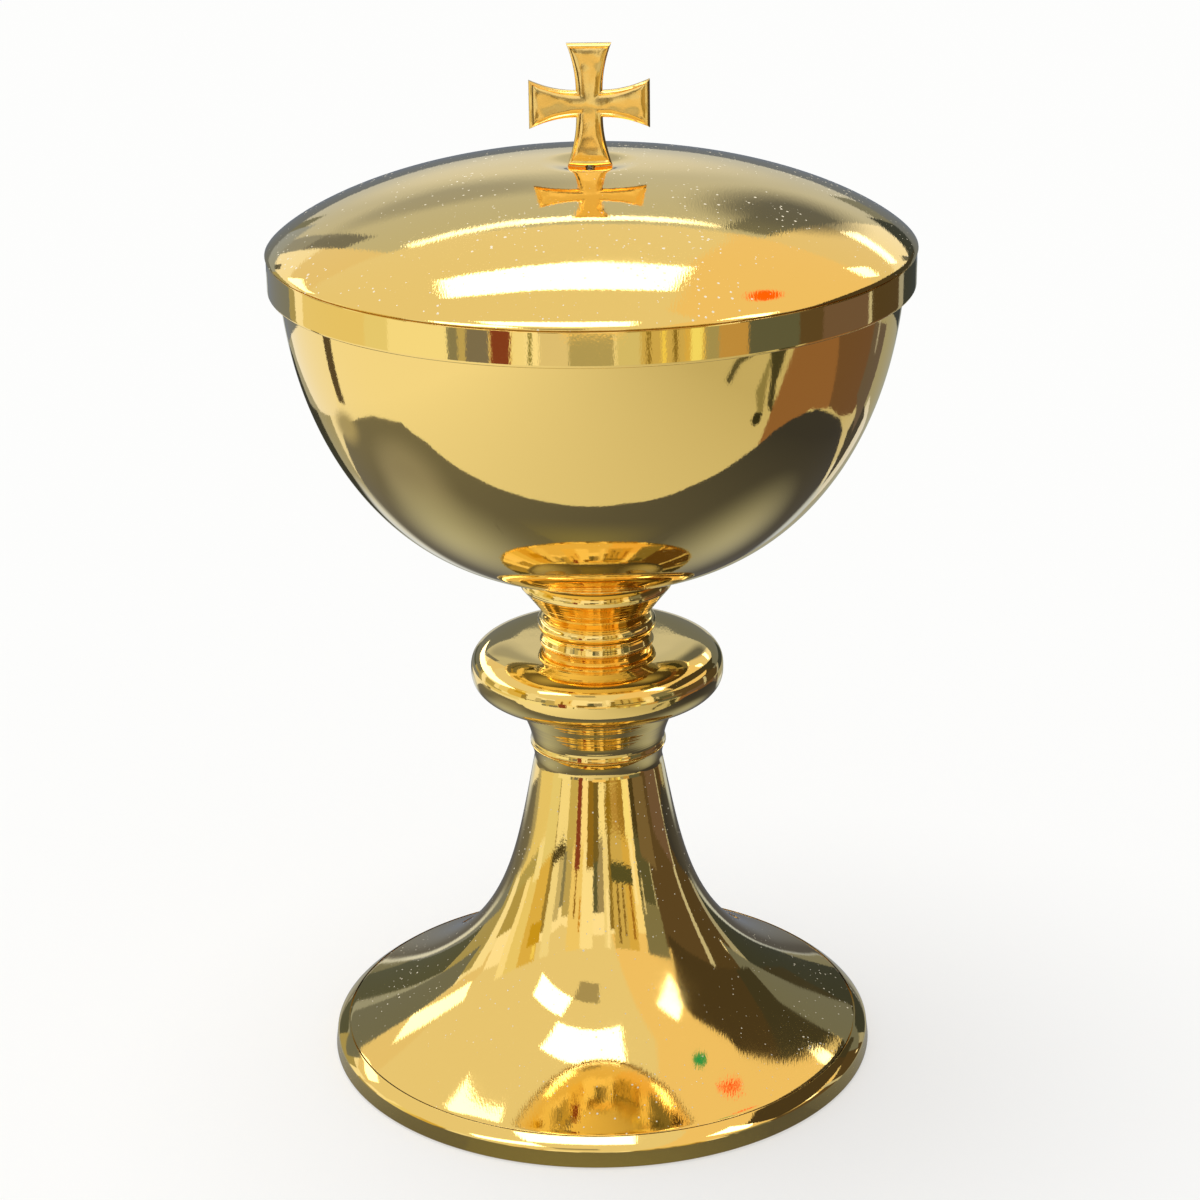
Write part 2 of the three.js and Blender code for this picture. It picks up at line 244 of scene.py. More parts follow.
# %% Make the base ring
base_bottom, base_top, base_radius = span("base_ring")
SKIRT_TOP = 3.7
SKIRT_TAPER = 0.4
SHOULDER = 2.7
SHOULDER_KNEE = 4.3
RING_WIDTH = 6.0
ring_edge = base_radius - SKIRT_TAPER
crease_radius = ring_edge - SHOULDER
ring_inner = base_radius - RING_WIDTH
base_ring = swept(
    "base_ring_fine",
    softened(
        [
            (ring_inner, base_bottom, 0.4),
            (base_radius - 0.5, base_bottom, 0.3),
            (base_radius, base_bottom + 0.5, 0.3),
            (ring_edge, SKIRT_TOP - 0.15, 0.1),
        ]
        + hard(bend((ring_edge, SKIRT_TOP), (ring_edge, SHOULDER_KNEE), (crease_radius, base_top), 20)[:-1])
        + [
            (crease_radius, base_top, 0.06),
            (crease_radius, base_top - SHEET, 0),
            (ring_inner, base_top - SHEET, 0.3),
        ]
    ),
)

# %% Spin the foot
foot_bottom, foot_top, foot_radius = span("foot_shell")
NECK_RADIUS = 14.4
NECK_FLARE = 0.9
NECK_FLARE_HEIGHT = 3.6
FOOT_TAPER = 0.19
FOOT_POWER = 4
ROWS_CROWDED_LOW = 1.3
NECK_STEPS = 12


def foot_line(edge_radius, steps):
    """The outside of the foot from its edge up to the neck."""
    neck_bottom = foot_top - NECK_FLARE_HEIGHT
    drop = neck_bottom - base_top
    flare = edge_radius - NECK_RADIUS - FOOT_TAPER * drop
    line = []
    for i in range(steps + 1):
        share = 1 - (i / steps) ** ROWS_CROWDED_LOW
        down = share * drop
        line.append((NECK_RADIUS + FOOT_TAPER * down + flare * share**FOOT_POWER, neck_bottom - down))
    for i in range(1, NECK_STEPS + 1):
        share = i / NECK_STEPS
        line.append((NECK_RADIUS + NECK_FLARE * share**2, neck_bottom + NECK_FLARE_HEIGHT * share))
    return line


outside = foot_line(foot_radius, 72)
inside = [p for p in offset(foot_line(foot_radius, 48), SHEET) if p[1] < foot_top and p[0] < ring_inner]
swept(
    "foot_shell_fine",
    softened(
        [(ring_inner, foot_bottom, 0), (foot_radius, foot_bottom, 0), (foot_radius, base_top - 0.02, 0.05)]
        + hard(outside[1:-1])
        + [
            (outside[-1][0], foot_top - 0.15, 0.15),
            (outside[-1][0] - 0.3, foot_top, 0.1),
            (inside[-1][0], foot_top, 0.1),
        ]
        + hard(inside[::-1])
    ),
)
print("foot flange", round(2 * foot_radius, 1), "mm across")

# %% [markdown]
# A thick disc closes the neck from inside. The nut pulls against it when the stem is put together.

# %% Turn the disc in the neck
plate_bottom, plate_top, plate_radius = span("foot_plate")
swept(
    "foot_plate_fine",
    softened(
        [
            (ROD_BORE, plate_bottom, 0.2),
            (plate_radius, plate_bottom, 0.4),
            (plate_radius, plate_top, 0.1),
            (ROD_BORE, plate_top, 0.1),
        ]
    ),
    HIDDEN_SIDES,
)

# %% [markdown]
# ## Stem
# Five turned pieces are threaded on one rod between foot and bowl. Their rounded shoulders reflect each
# other, and gold seen in gold turns deeper each time, which is why the stem looks more orange than the
# bowl. The lower collar stands upright at its foot, bends quickly and flares out towards the knop.

# %% Turn the lower collar
collar_bottom, collar_top, collar_radius = span("lower_collar")
COLLAR_FOOT = NECK_RADIUS + NECK_FLARE
COLLAR_KNEE = 2.4
collar_knee = (COLLAR_FOOT - 0.4, collar_bottom + COLLAR_KNEE)
collar_end = (collar_radius, collar_top - 0.55)
collar_turn = tuple(a + (b - a) * 0.32 for a, b in zip(collar_knee, collar_end))
collar_side = [(COLLAR_FOOT, collar_bottom + 0.25)]
collar_side += bend((COLLAR_FOOT - 0.25, collar_bottom + 1.2), collar_knee, collar_turn, 14) + [collar_end]
swept(
    "lower_collar_fine",
    softened(
        [(ROD_BORE, collar_bottom, 0), (COLLAR_FOOT - 0.35, collar_bottom, 0.12)]
        + [(collar_side[0][0], collar_side[0][1], 0.1)]
        + hard(collar_side[1:-1])
        + [
            (collar_side[-1][0], collar_side[-1][1], 0.3),
            (collar_radius - 0.5, collar_top, 0.3),
            (ROD_BORE, collar_top, 0),
        ]
    ),
)

# %% [markdown]
# The knop, by which the cup is held, is two shells that meet at the widest line. The joint is burnished
# shut, so both halves end in a vertical tangent and the surface runs over it without a mark.

# %% Spin the two shells of the knop
knop_bottom, knop_seam, knop_radius = span("knop_lower_shell")
knop_top = span("knop_upper_shell")[1]
knop_half = knop_top - knop_seam
KNOP_FLAT = 16.5
KNOP_ROUND = 2.6


def knop_rim(radius, rise, steps):
    """The rounded rim of the knop outside its flat crown, over the seam."""
    line = crown(radius - KNOP_FLAT, rise, KNOP_ROUND, KNOP_ROUND, steps)
    return [(KNOP_FLAT + r, z) for r, z in line]


def knop_shell(name, sign):
    outer = knop_rim(knop_radius, knop_half, 56)
    inner = knop_rim(knop_radius - SHEET, knop_half - SHEET, 32)
    line = [(ROD_BORE, knop_half)] + outer + inner[::-1] + [(ROD_BORE, knop_half - SHEET)]
    line = [(r, knop_seam + sign * z) for r, z in line]
    return swept(name, line[::-1] if sign > 0 else line)


knop_shell("knop_lower_fine", -1)
knop_shell("knop_upper_fine", 1)

# %% [markdown]
# Above the knop come a short neck with a spread foot, a ring with a half-round edge and the calyx, a
# flared collar with a crisp lip that carries the bowl.

# %% Turn the neck, the bead and the calyx
neck_bottom, neck_top, neck_foot = span("upper_neck")
NECK_WAIST = 12.1
neck_cove = arc(neck_foot, neck_top, NECK_WAIST - neck_foot, neck_bottom + 0.2 - neck_top, 90, 0, 16)
swept(
    "upper_neck_fine",
    softened(
        [(ROD_BORE, neck_bottom, 0), (neck_foot - 0.1, neck_bottom, 0), (neck_foot, neck_bottom + 0.1, 0.1)]
        + hard(neck_cove[1:-1])
        + [(NECK_WAIST, neck_top, 0.1), (ROD_BORE, neck_top, 0)]
    ),
)

bead_bottom, bead_top, bead_radius = span("bead_ring")
BEAD_EDGE = 12.0
bead_middle = (bead_bottom + bead_top) / 2
bead_round = arc(BEAD_EDGE, bead_middle, bead_radius - BEAD_EDGE, bead_top - bead_middle, -90, 90, 28)
swept("bead_ring_fine", [(ROD_BORE, bead_bottom)] + bead_round + [(ROD_BORE, bead_top)])

calyx_bottom, calyx_top, lip_radius = span("calyx_collar")
CALYX_ROOT = 11.4
CALYX_FLARE = 7.2
CALYX_HOLLOW = 1.1
LIP_HEIGHT = 0.7
CALYX_CROWN = 13.4
BOSS_POCKET = 8.3
POCKET_DEPTH = 5.5
lip_bottom = calyx_bottom + CALYX_FLARE
lip_top = lip_bottom + LIP_HEIGHT
calyx_flare = [
    (CALYX_ROOT + (lip_radius - CALYX_ROOT) * share**CALYX_HOLLOW, calyx_bottom + share * CALYX_FLARE)
    for share in np.linspace(0, 0.97, 24)
]
calyx_crown = arc(CALYX_CROWN, lip_top, lip_radius - CALYX_CROWN, calyx_top - lip_top, 6, 90, 16)
swept(
    "calyx_collar_fine",
    softened(
        [(ROD_BORE, calyx_bottom, 0)]
        + hard(calyx_flare)
        + [(lip_radius, lip_bottom, 0.25), (lip_radius, lip_top, 0.2)]
        + hard(calyx_crown)
        + [
            (BOSS_POCKET, calyx_top, 0.2),
            (BOSS_POCKET, calyx_top - POCKET_DEPTH, 0),
            (ROD_BORE, calyx_top - POCKET_DEPTH, 0),
        ]
    ),
)

# %% [markdown]
# ## Bowl
# The bowl is deep, nearly upright at the rim and flattened underneath. A quarter superellipse fits the
# photograph's outline to less than a pixel, and the inside is the same line moved in by the sheet. The
# rim is rolled over and polished round.

# %% Spin the bowl
cup_bottom, cup_rim, cup_radius = span("cup")
cup_depth = cup_rim - cup_bottom
CUP_FULLNESS = 2.58
CUP_ROUNDNESS = 2.0
bowl_line = [(r, cup_rim - z) for r, z in crown(cup_radius, cup_depth, CUP_FULLNESS, CUP_ROUNDNESS, 96)]
bowl_inside = offset(bowl_line, CUP_SHEET)[::-1]
bowl_inside[-1] = (0, cup_bottom + CUP_SHEET)
swept(
    "cup_fine",
    softened(
        hard([p for p in bowl_line if p[1] < cup_rim - 1.2])
        + [(cup_radius, cup_rim, 0.55), (cup_radius - CUP_SHEET, cup_rim, 0.55)]
        + hard([p for p in bowl_inside if p[1] < cup_rim - 1.2])
    ),
)

# %% [markdown]
# ## Cover
# The cover is three pieces soldered together. A flat ring rests on the cup's rim, an upright band hangs
# round it outside and keeps the cover centred, and a low dome is spun to meet them. The ring is set
# back by 0.7 mm behind a thin lip of the band, which leaves a fine dark groove under the dome's edge.

# %% Turn the seat ring and the band
seat_bottom, seat_top, seat_radius = span("lid_seat_ring")
SEAT_WIDTH = 4.6
swept(
    "lid_seat_fine",
    softened(
        [
            (seat_radius - SEAT_WIDTH, seat_bottom, 0.1),
            (seat_radius, seat_bottom, 0),
            (seat_radius, seat_top, 0),
            (seat_radius - SEAT_WIDTH, seat_top, 0.1),
        ]
    ),
)
band_bottom, band_top, band_radius = span("lid_band")
BAND_SHEET = 1.2
GROOVE = 0.3
LIP_SHEET = band_radius - seat_radius - 0.05
swept(
    "lid_band_fine",
    softened(
        [
            (band_radius - BAND_SHEET, band_bottom, 0.45),
            (band_radius, band_bottom, 0.5),
            (band_radius, band_bottom + 0.7, 0),
            (band_radius, seat_top - GROOVE - 0.3, 0),
            (band_radius, seat_top - GROOVE, 0.12),
            (band_radius - LIP_SHEET, seat_top - GROOVE, 0),
            (band_radius - LIP_SHEET, band_top, 0),
            (band_radius - BAND_SHEET, band_top, 0),
        ]
    ),
)

# %% [markdown]
# The dome is another superellipse. Under the cross the sheet is pulled down into a shallow dip by the
# nut that holds the cross, and the dip bends the reflections there into a soft dark ring.

# %% Spin the dome
dome_bottom, dome_top, dome_radius = span("lid_dome")
DOME_RISE = 17.9
DOME_FULLNESS = 2.2
DOME_SHOULDER = 1.27
DIP_RADIUS = 11.0
DIP_DEPTH = 1.2
STUD_HOLE = 1.1


def dome_height(r):
    """Height of the dome's outside over its lower edge."""
    lean = math.asin(min(r / dome_radius, 1) ** (DOME_FULLNESS / 2))
    dip = DIP_DEPTH * (1 - min(r / DIP_RADIUS, 1) ** 2) ** 2
    return DOME_RISE * math.cos(lean) ** (2 / DOME_SHOULDER) - dip


dome_steps = [r for r, _ in crown(dome_radius, DOME_RISE, DOME_FULLNESS, DOME_SHOULDER, 80)]
dome_radii = [r for r in dome_steps if r > DIP_RADIUS][::-1] + list(np.linspace(DIP_RADIUS, STUD_HOLE, 22))
dome_line = [(r, dome_bottom + dome_height(r)) for r in dome_radii]
dome_inside = [
    p for p in offset(dome_line, CUP_SHEET) if p[0] > STUD_HOLE and p[1] > dome_bottom + 0.5
][::-1]
dome_inner_edge = dome_inside[-1][0]
swept(
    "lid_dome_fine",
    softened(
        [(dome_inner_edge, dome_bottom, 0), (dome_radius, dome_bottom, 0.25)]
        + hard([p for p in dome_line if p[1] > dome_bottom + 0.6])
        + [(STUD_HOLE, dome_line[-1][1] - CUP_SHEET, 0)]
        + hard(dome_inside)
    ),
)

# %% [markdown]
# ## Cross
# The cross is cast, its arms spreading from a narrow middle, with a raised bead burnished all round each
# face and an outer edge filed off at an angle. The bead gives the bright frame line seen in the
# photograph, and the sunk face inside it is slightly pillowed. Outlines of the same shape, each moved in a
# little further, are joined by strips of faces. The foot of the cross is filed to follow the dip in the
# dome. The table below gives, for each outline, how far in it lies and how far it is sunk.

# %% Shape the cross
cross_low, cross_high = (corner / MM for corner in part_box("cross_finial"))
CROSS_UPRIGHT_END = 9.4
CROSS_SIDE_END = 10.2
CROSS_THROAT = 5.6
ARM_STEPS = 14
END_STEPS = 8
FOOT_GAP = 0.08
FOOT_REACH = 2.5
cross_reach = (cross_high.z - cross_low.z) / 2
cross_middle = (cross_high.z + cross_low.z) / 2
half_thick = (cross_high.y - cross_low.y) / 2


def cross_outline(inset):
    """Corner to corner round the four arms, moved in by the inset."""
    throat = CROSS_THROAT / 2 - inset
    reach = cross_reach - inset
    points = []
    for quarter in range(4):
        end = (CROSS_SIDE_END if quarter % 2 == 0 else CROSS_UPRIGHT_END) / 2 - inset
        side = bend((throat, throat), ((throat + reach) / 2, throat), (reach, end), ARM_STEPS)
        tip = [(reach, y) for y in np.linspace(-end, end, END_STEPS + 1)[1:-1]]
        arm = [(x, -y) for x, y in side] + tip + side[::-1][:-1]
        turn = quarter * math.pi / 2
        for x, y in arm:
            points.append((x * math.cos(turn) - y * math.sin(turn), x * math.sin(turn) + y * math.cos(turn)))
    return points


def settled(x, y, z):
    """The same point, let down near the foot so that the cross meets the dipped dome."""
    ground = dome_bottom + dome_height(math.hypot(x, y)) + FOOT_GAP
    share = max(0, 1 - (z - cross_low.z) / FOOT_REACH)
    return (x, y, z - share * max(0, cross_low.z - ground))


# %% Stack the outlines of the cross
BEAD = [(2.1, 0.12), (1.6, 0.14), (1.2, 0.22), (1.0, 0.25), (0.86, 0.16), (0.75, 0.04), (0.64, 0)]
BEAD += [(0.52, 0.03), (0.1, 0.44), (0, 0.6)]
cross_stack = [(inset, sunk - half_thick) for inset, sunk in BEAD]
cross_stack += [(inset, -depth) for inset, depth in cross_stack[::-1]]
cross_vertices, cross_faces = [], []
for inset, depth in cross_stack:
    cross_vertices += [settled(x, depth, cross_middle + z) for x, z in cross_outline(inset)]
cross_count = len(cross_vertices) // len(cross_stack)
for layer in range(len(cross_stack) - 1):
    for k in range(cross_count):
        j = (k + 1) % cross_count
        a, b = layer * cross_count, (layer + 1) * cross_count
        cross_faces.append([a + k, a + j, b + j, b + k][::-1])
cross_faces.append(list(range(cross_count)))
cross_faces.append(list(range(len(cross_vertices) - cross_count, len(cross_vertices)))[::-1])
finish_mesh("cross_fine", cross_vertices, cross_faces, crease=35)

# %% [markdown]
# ## Fasteners
# Turned upside down, the foot shows how the whole stem is held: a threaded rod comes down from the bowl
# and a nut pulls everything together against a wide washer. Thread ridges are swept on a helix at the
# real pitch, 1 mm on the rod and 0.4 mm on the cross's stud. The nuts get their 30 degree chamfers by
# cutting their corners with a cone.

# %% Turn the washers
washer_bottom, washer_top, washer_radius = span("foot_washer")
swept(
    "foot_washer_fine",
    softened(
        [
            (ROD_BORE, washer_bottom, 0.2),
            (washer_radius, washer_bottom, 0.4),
            (washer_radius, washer_top, 0.2),
            (ROD_BORE, washer_top, 0.1),
        ]
    ),
    HIDDEN_SIDES,
)
finial_bottom, finial_top, finial_radius = span("finial_washer")
swept(
    "finial_washer_fine",
    softened(
        [
            (STUD_HOLE, finial_bottom, 0.1),
            (finial_radius, finial_bottom, 0.2),
            (finial_radius, finial_top, 0.05),
            (STUD_HOLE, finial_top, 0.05),
        ]
    ),
    SMALL_SIDES,
)

# %% Cut the split lock washer
lock_bottom, lock_top, lock_radius = span("lock_washer")
LOCK_SPLIT = math.radians(9)
LOCK_STEPS = 72
WIRE_HALF = 0.42
lock_corners = [(ROD_BORE, -1), (lock_radius - 0.15, -1), (lock_radius, -0.75)]
lock_corners += [(lock_radius, 0.75), (lock_radius - 0.15, 1), (ROD_BORE, 1)]


def split_ring(low, high):
    """A square wire bent into a ring, its two ends a little apart in height."""
    vertices, faces = [], []
    count = len(lock_corners)
    thick = (high - low) * WIRE_HALF
    for k in range(LOCK_STEPS + 1):
        share = k / LOCK_STEPS
        angle = LOCK_SPLIT / 2 + share * (2 * math.pi - LOCK_SPLIT)
        middle = low + thick + share * (high - low - 2 * thick)
        for r, side in lock_corners:
            vertices.append((r * math.cos(angle), r * math.sin(angle), middle + side * thick))
    for k in range(LOCK_STEPS):
        for c in range(count):
            d = (c + 1) % count
            faces.append([k * count + c, (k + 1) * count + c, (k + 1) * count + d, k * count + d])
    faces.append(list(range(count)))
    faces.append([LOCK_STEPS * count + c for c in range(count)][::-1])
    return vertices, faces


finish_mesh("lock_washer_fine", *split_ring(lock_bottom, lock_top), crease=30)


# %% Cut the hexagon nuts
NUT_SIDES = 96
NUT_CHAMFER = math.tan(math.radians(30))
NUT_LAND = 0.96
NUT_LEAD = 0.12


def hex_nut(name, node, bore):
    """A nut between the heights of its node, chamfered at both ends and in its bore."""
    low, high, corner = span(node)
    flat = corner * math.cos(math.pi / 6)
    land = flat * NUT_LAND
    angles = [2 * math.pi * k / NUT_SIDES for k in range(NUT_SIDES)]
    hexagon = [flat / math.cos(a % (math.pi / 3) - math.pi / 6) for a in angles]
    lead = NUT_LEAD * (high - low)
    rows = [
        [(bore + lead, low)] * NUT_SIDES,
        [(land, low)] * NUT_SIDES,
        [(r, low + (r - land) * NUT_CHAMFER) for r in hexagon],
        [(r, high - (r - land) * NUT_CHAMFER) for r in hexagon],
        [(land, high)] * NUT_SIDES,
        [(bore + lead, high)] * NUT_SIDES,
        [(bore, high - lead)] * NUT_SIDES,
        [(bore, low + lead)] * NUT_SIDES,
    ]
    vertices = [(r * math.cos(a), r * math.sin(a), z) for row in rows for a, (r, z) in zip(angles, row)]
    faces = []
    for i in range(len(rows)):
        for k in range(NUT_SIDES):
            j = (k + 1) % NUT_SIDES
            a, b = i * NUT_SIDES, (i + 1) % len(rows) * NUT_SIDES
            faces.append([a + k, a + j, b + j, b + k])
    return finish_mesh(name, vertices, faces, crease=20)


hex_nut("foot_nut_fine", "foot_nut", ROD_BORE)
hex_nut("finial_nut_fine", "finial_nut", STUD_HOLE)


# %% Roll the threads of the rod and the stud
THREAD_DEPTH = 0.61
THREAD_SIDES = 32
THREAD_STEPS = 10
RIDGE_SLOPE = 2.4
ROD_PITCH = 1.0
ROD_THREAD = 14
STUD_PITCH = 0.4


def threaded_rod(name, node, radius, pitch, thread_from, thread_to):
    """A rod whose thread ridge climbs one pitch per turn between two heights."""
    low, high, _ = span(node)
    depth = THREAD_DEPTH * pitch
    rows = int((high - low) / pitch * THREAD_STEPS) + 1
    vertices, faces = [], []
    for i in range(rows + 1):
        z = low + (high - low) * i / rows
        for k in range(THREAD_SIDES):
            turn = k / THREAD_SIDES
            phase = (z / pitch - turn) % 1
            ridge = min(abs(phase - 0.5) * RIDGE_SLOPE, 1)
            cut = depth * (1 - ridge) if thread_from <= z <= thread_to else 0
            end = min(z - low, high - z)
            taper = max(0, 0.5 * pitch - end)
            r = radius - max(cut, taper)
            vertices.append((r * math.cos(2 * math.pi * turn), r * math.sin(2 * math.pi * turn), z))
    for i in range(rows):
        for k in range(THREAD_SIDES):
            j = (k + 1) % THREAD_SIDES
            a, b = i * THREAD_SIDES, (i + 1) * THREAD_SIDES
            faces.append([a + k, a + j, b + j, b + k])
    faces.append(list(range(THREAD_SIDES))[::-1])
    faces.append([rows * THREAD_SIDES + k for k in range(THREAD_SIDES)])
    return finish_mesh(name, vertices, faces, crease=60)


rod_bottom, rod_top, rod_radius = span("tie_rod")
threaded_rod("tie_rod_fine", "tie_rod", rod_radius, ROD_PITCH, rod_bottom, rod_bottom + ROD_THREAD)
stud_bottom, stud_top, stud_radius = span("finial_stud")
threaded_rod("finial_stud_fine", "finial_stud", stud_radius, STUD_PITCH, stud_bottom, stud_top)

# %% [markdown]
# ## From hex colours to nodes
# Colours are written as sRGB hex values, as a paint chart gives them, and one function turns them to the
# linear values that Blender's sockets expect. One small function adds a node with its settings and links.

# %% Helpers for materials
def linear(code):
    """Linear RGBA from an sRGB hex code."""
    channels = [int(code[i : i + 2], 16) / 255 for i in (1, 3, 5)]
    return tuple(c / 12.92 if c <= 0.04045 else ((c + 0.055) / 1.055) ** 2.4 for c in channels) + (1.0,)


def add(tree, kind, links=(), **settings):
    """Adds a node, sets its properties or sockets, and links (socket, source node, output) into it."""
    node = tree.nodes.new(kind)
    for key, value in settings.items():
        if hasattr(node, key):
            setattr(node, key, value)
        else:
            node.inputs[key.replace("_", " ")].default_value = value
    for socket, source, output in links:
        tree.links.new(source.outputs[output], node.inputs[socket])
    return node


def new_material(name):
    """An empty node material with its output, and the tree to build in."""
    material = bpy.data.materials.new(name)
    material.use_nodes = True
    tree = material.node_tree
    tree.nodes.clear()
    return material, tree


def per_metre(size_mm):
    """Texture scale that repeats about once every size in millimetres."""
    return 1000 / size_mm


# %% [markdown]
# ## Gold plate
# The plate is a fraction of a micron of gold over polished brass. Gold absorbs blue and some green, so a
# white light comes back as pale gold, and light that has bounced twice comes back orange. The surface is
# a near perfect mirror with a roughness of about 0.035. What makes it look real is what handling leaves:
# hairline scratches, cloudy smudges about 3 cm wide that soften it, finger marks, dust, and a slight
# unevenness from hand polishing. Metals keep the default IOR.
#
# Four sorts of the plate differ a little. The small collars keep fine rings from the lathe. The foot and
# the cover carry dust and finger marks. The cross is cast and only filed and brushed, so it is rougher,
# wavier and slightly deeper in colour. Hairlines, skin ridges, tool rings and dust grains are all finer on
# a real cup, and are drawn as coarse as they need to be to show: 0.35, 1.1, 1.6 and 1.3 mm.

# %% Gold plate materials
GOLD = "#FFDD89"
CAST_GOLD = "#FFD884"
DUST = "#FFF3D6"
DUST_GRAIN_MM = 1.3
DUST_DRIFT_MM = 17
PRINT_MM = 1.1
PRINT_HAZE = 0.16
RING_MM = 1.6
SMUDGE_MM = 28
HAIRLINE_MM = 0.35


def dusty(tree, spot, metal, amount):
    """Grains of dust and lint, each of its own size, in loose drifts."""
    grain = add(tree, "ShaderNodeTexVoronoi", [spot], Scale=per_metre(DUST_GRAIN_MM), Randomness=1.0)
    chance = add(tree, "ShaderNodeSeparateColor", [("Color", grain, "Color")])
    patch = add(tree, "ShaderNodeTexNoise", [spot], Scale=per_metre(DUST_DRIFT_MM), Detail=2.0)
    reach = add(
        tree, "ShaderNodeMapRange", [("Value", patch, "Fac")], From_Min=0.3, From_Max=0.65, To_Max=amount
    )
    size = add(tree, "ShaderNodeMath", [(0, reach, "Result"), (1, chance, "Red")], operation="MULTIPLY")
    inside = [("Value", grain, "Distance"), (1, size, "Value")]
    speck = add(tree, "ShaderNodeMath", inside, operation="LESS_THAN")
    lint = add(tree, "ShaderNodeBsdfPrincipled", Base_Color=linear(DUST), Roughness=0.8)
    return add(tree, "ShaderNodeMixShader", [(0, speck, "Value"), (1, metal, "BSDF"), (2, lint, "BSDF")])


def printed(tree, spot, haze, prints):
    """Adds the cloudy marks that fingers left, each (x, y, z, radius) in millimetres, to a roughness."""
    ridge = add(tree, "ShaderNodeTexNoise", [spot], Scale=per_metre(PRINT_MM), Detail=3.0, Roughness=0.7)
    for x, y, z, radius in prints:
        apart = add(tree, "ShaderNodeVectorMath", [(0, spot[1], spot[2])], operation="DISTANCE")
        apart.inputs[1].default_value = (x * MM, y * MM, z * MM)
        near = add(tree, "ShaderNodeMapRange", [("Value", apart, "Value")], interpolation_type="SMOOTHSTEP")
        for key, value in (("From Min", 0.2), ("From Max", 1)):
            near.inputs[key].default_value = radius * value * MM
        near.inputs["To Min"].default_value = PRINT_HAZE
        near.inputs["To Max"].default_value = 0
        mark = add(tree, "ShaderNodeMath", [(0, near, "Result"), (1, ridge, "Fac")], operation="MULTIPLY")
        both = [(0, haze, haze.outputs[0].name), (1, mark, "Value")]
        haze = add(tree, "ShaderNodeMath", both, operation="ADD")
    return haze


def gold_plate(
    name,
    colour=GOLD,
    mirror=0.035,
    smudge=0.07,
    scratch=0.02,
    wave=0.02,
    wave_mm=14,
    rings=0.0,
    dust=0.0,
    prints=(),
):
    """Polished gold plate with smudges, hairlines, waves, lathe rings, finger marks and dust."""
    material, tree = new_material(name)
    place = add(tree, "ShaderNodeTexCoord")
    spot = ("Vector", place, "Object")
    cloud = add(tree, "ShaderNodeTexNoise", [spot], Scale=per_metre(SMUDGE_MM), Detail=4.0, Roughness=0.6)
    haze = add(tree, "ShaderNodeMapRange", [("Value", cloud, "Fac")], From_Min=0.5, From_Max=0.85)
    haze.inputs["To Min"].default_value = mirror
    haze.inputs["To Max"].default_value = mirror + smudge
    if prints:
        haze = printed(tree, spot, haze, prints)
    stretch = add(tree, "ShaderNodeMapping", [spot], Scale=(1.0, 0.16, 0.5), Rotation=(0.3, 0.5, 0.6))
    drawn = [("Vector", stretch, "Vector")]
    hair = add(tree, "ShaderNodeTexNoise", drawn, Scale=per_metre(HAIRLINE_MM), Detail=2.0)
    swell = add(tree, "ShaderNodeTexNoise", [spot], Scale=per_metre(wave_mm), Detail=1.0)
    scratches = add(tree, "ShaderNodeBump", [("Height", hair, "Fac")], Strength=scratch, Distance=0.0002)
    rise = [("Height", swell, "Fac"), ("Normal", scratches, "Normal")]
    waves = add(tree, "ShaderNodeBump", rise, Strength=wave, Distance=0.002)
    if rings:
        level = add(tree, "ShaderNodeMapping", [spot], Scale=(0.0, 0.0, 1.0))
        flat = [("Vector", level, "Vector")]
        ring = add(tree, "ShaderNodeTexNoise", flat, Scale=per_metre(RING_MM), Detail=2.0)
        rise = [("Height", ring, "Fac"), ("Normal", waves, "Normal")]
        waves = add(tree, "ShaderNodeBump", rise, Strength=rings, Distance=0.0003)
    skin = [("Roughness", haze, haze.outputs[0].name), ("Normal", waves, "Normal")]
    surface = add(tree, "ShaderNodeBsdfPrincipled", skin, Base_Color=linear(colour), Metallic=1.0)
    if dust:
        surface = dusty(tree, spot, surface, dust)
    add(tree, "ShaderNodeOutputMaterial", [("Surface", surface, surface.outputs[0].name)])
    return material


FOOT_PRINTS = [(17, -25, 26, 11)]
COVER_PRINTS = [(30, -22, 197, 13)]
gold_mirror = gold_plate("gold_plate_mirror")
gold_turned = gold_plate("gold_plate_turned", rings=0.8)
gold_foot = gold_plate("gold_plate_handled", smudge=0.08, scratch=0.03, dust=0.2, prints=FOOT_PRINTS)
gold_cover = gold_plate("gold_plate_dusty", smudge=0.06, scratch=0.05, dust=0.28, prints=COVER_PRINTS)
gold_cross = gold_plate("gold_plate_cast", CAST_GOLD, mirror=0.13, scratch=0.04, wave=0.22, wave_mm=6)
print("gold", [round(c, 3) for c in linear(GOLD)])

# %% [markdown]
# The skirt of the base is turned but not buffed to a mirror, so its reflections are soft. The disc in the
# neck, the washers, the seat ring, the boss and the knop's spacer stay plain turned brass. A lathe tool
# leaves rings about 0.4 mm apart, drawn here as coarse as 2.5 mm so that they show; the wave texture's own
# wave is about 0.31 long at a scale of 1. The nuts, the rod, the stud and the lock washer are zinc-plated
# steel: a cool grey with cloudy patches.

# %% Satin gold, turned brass and zinc-plated steel
SATIN = "#F4D07E"
BRASS = "#D9B45C"
ZINC = "#B9BCC0"
TOOL_MARK_MM = 2.5
WAVE_LENGTH = 0.3125
CLOUD_MM = 6


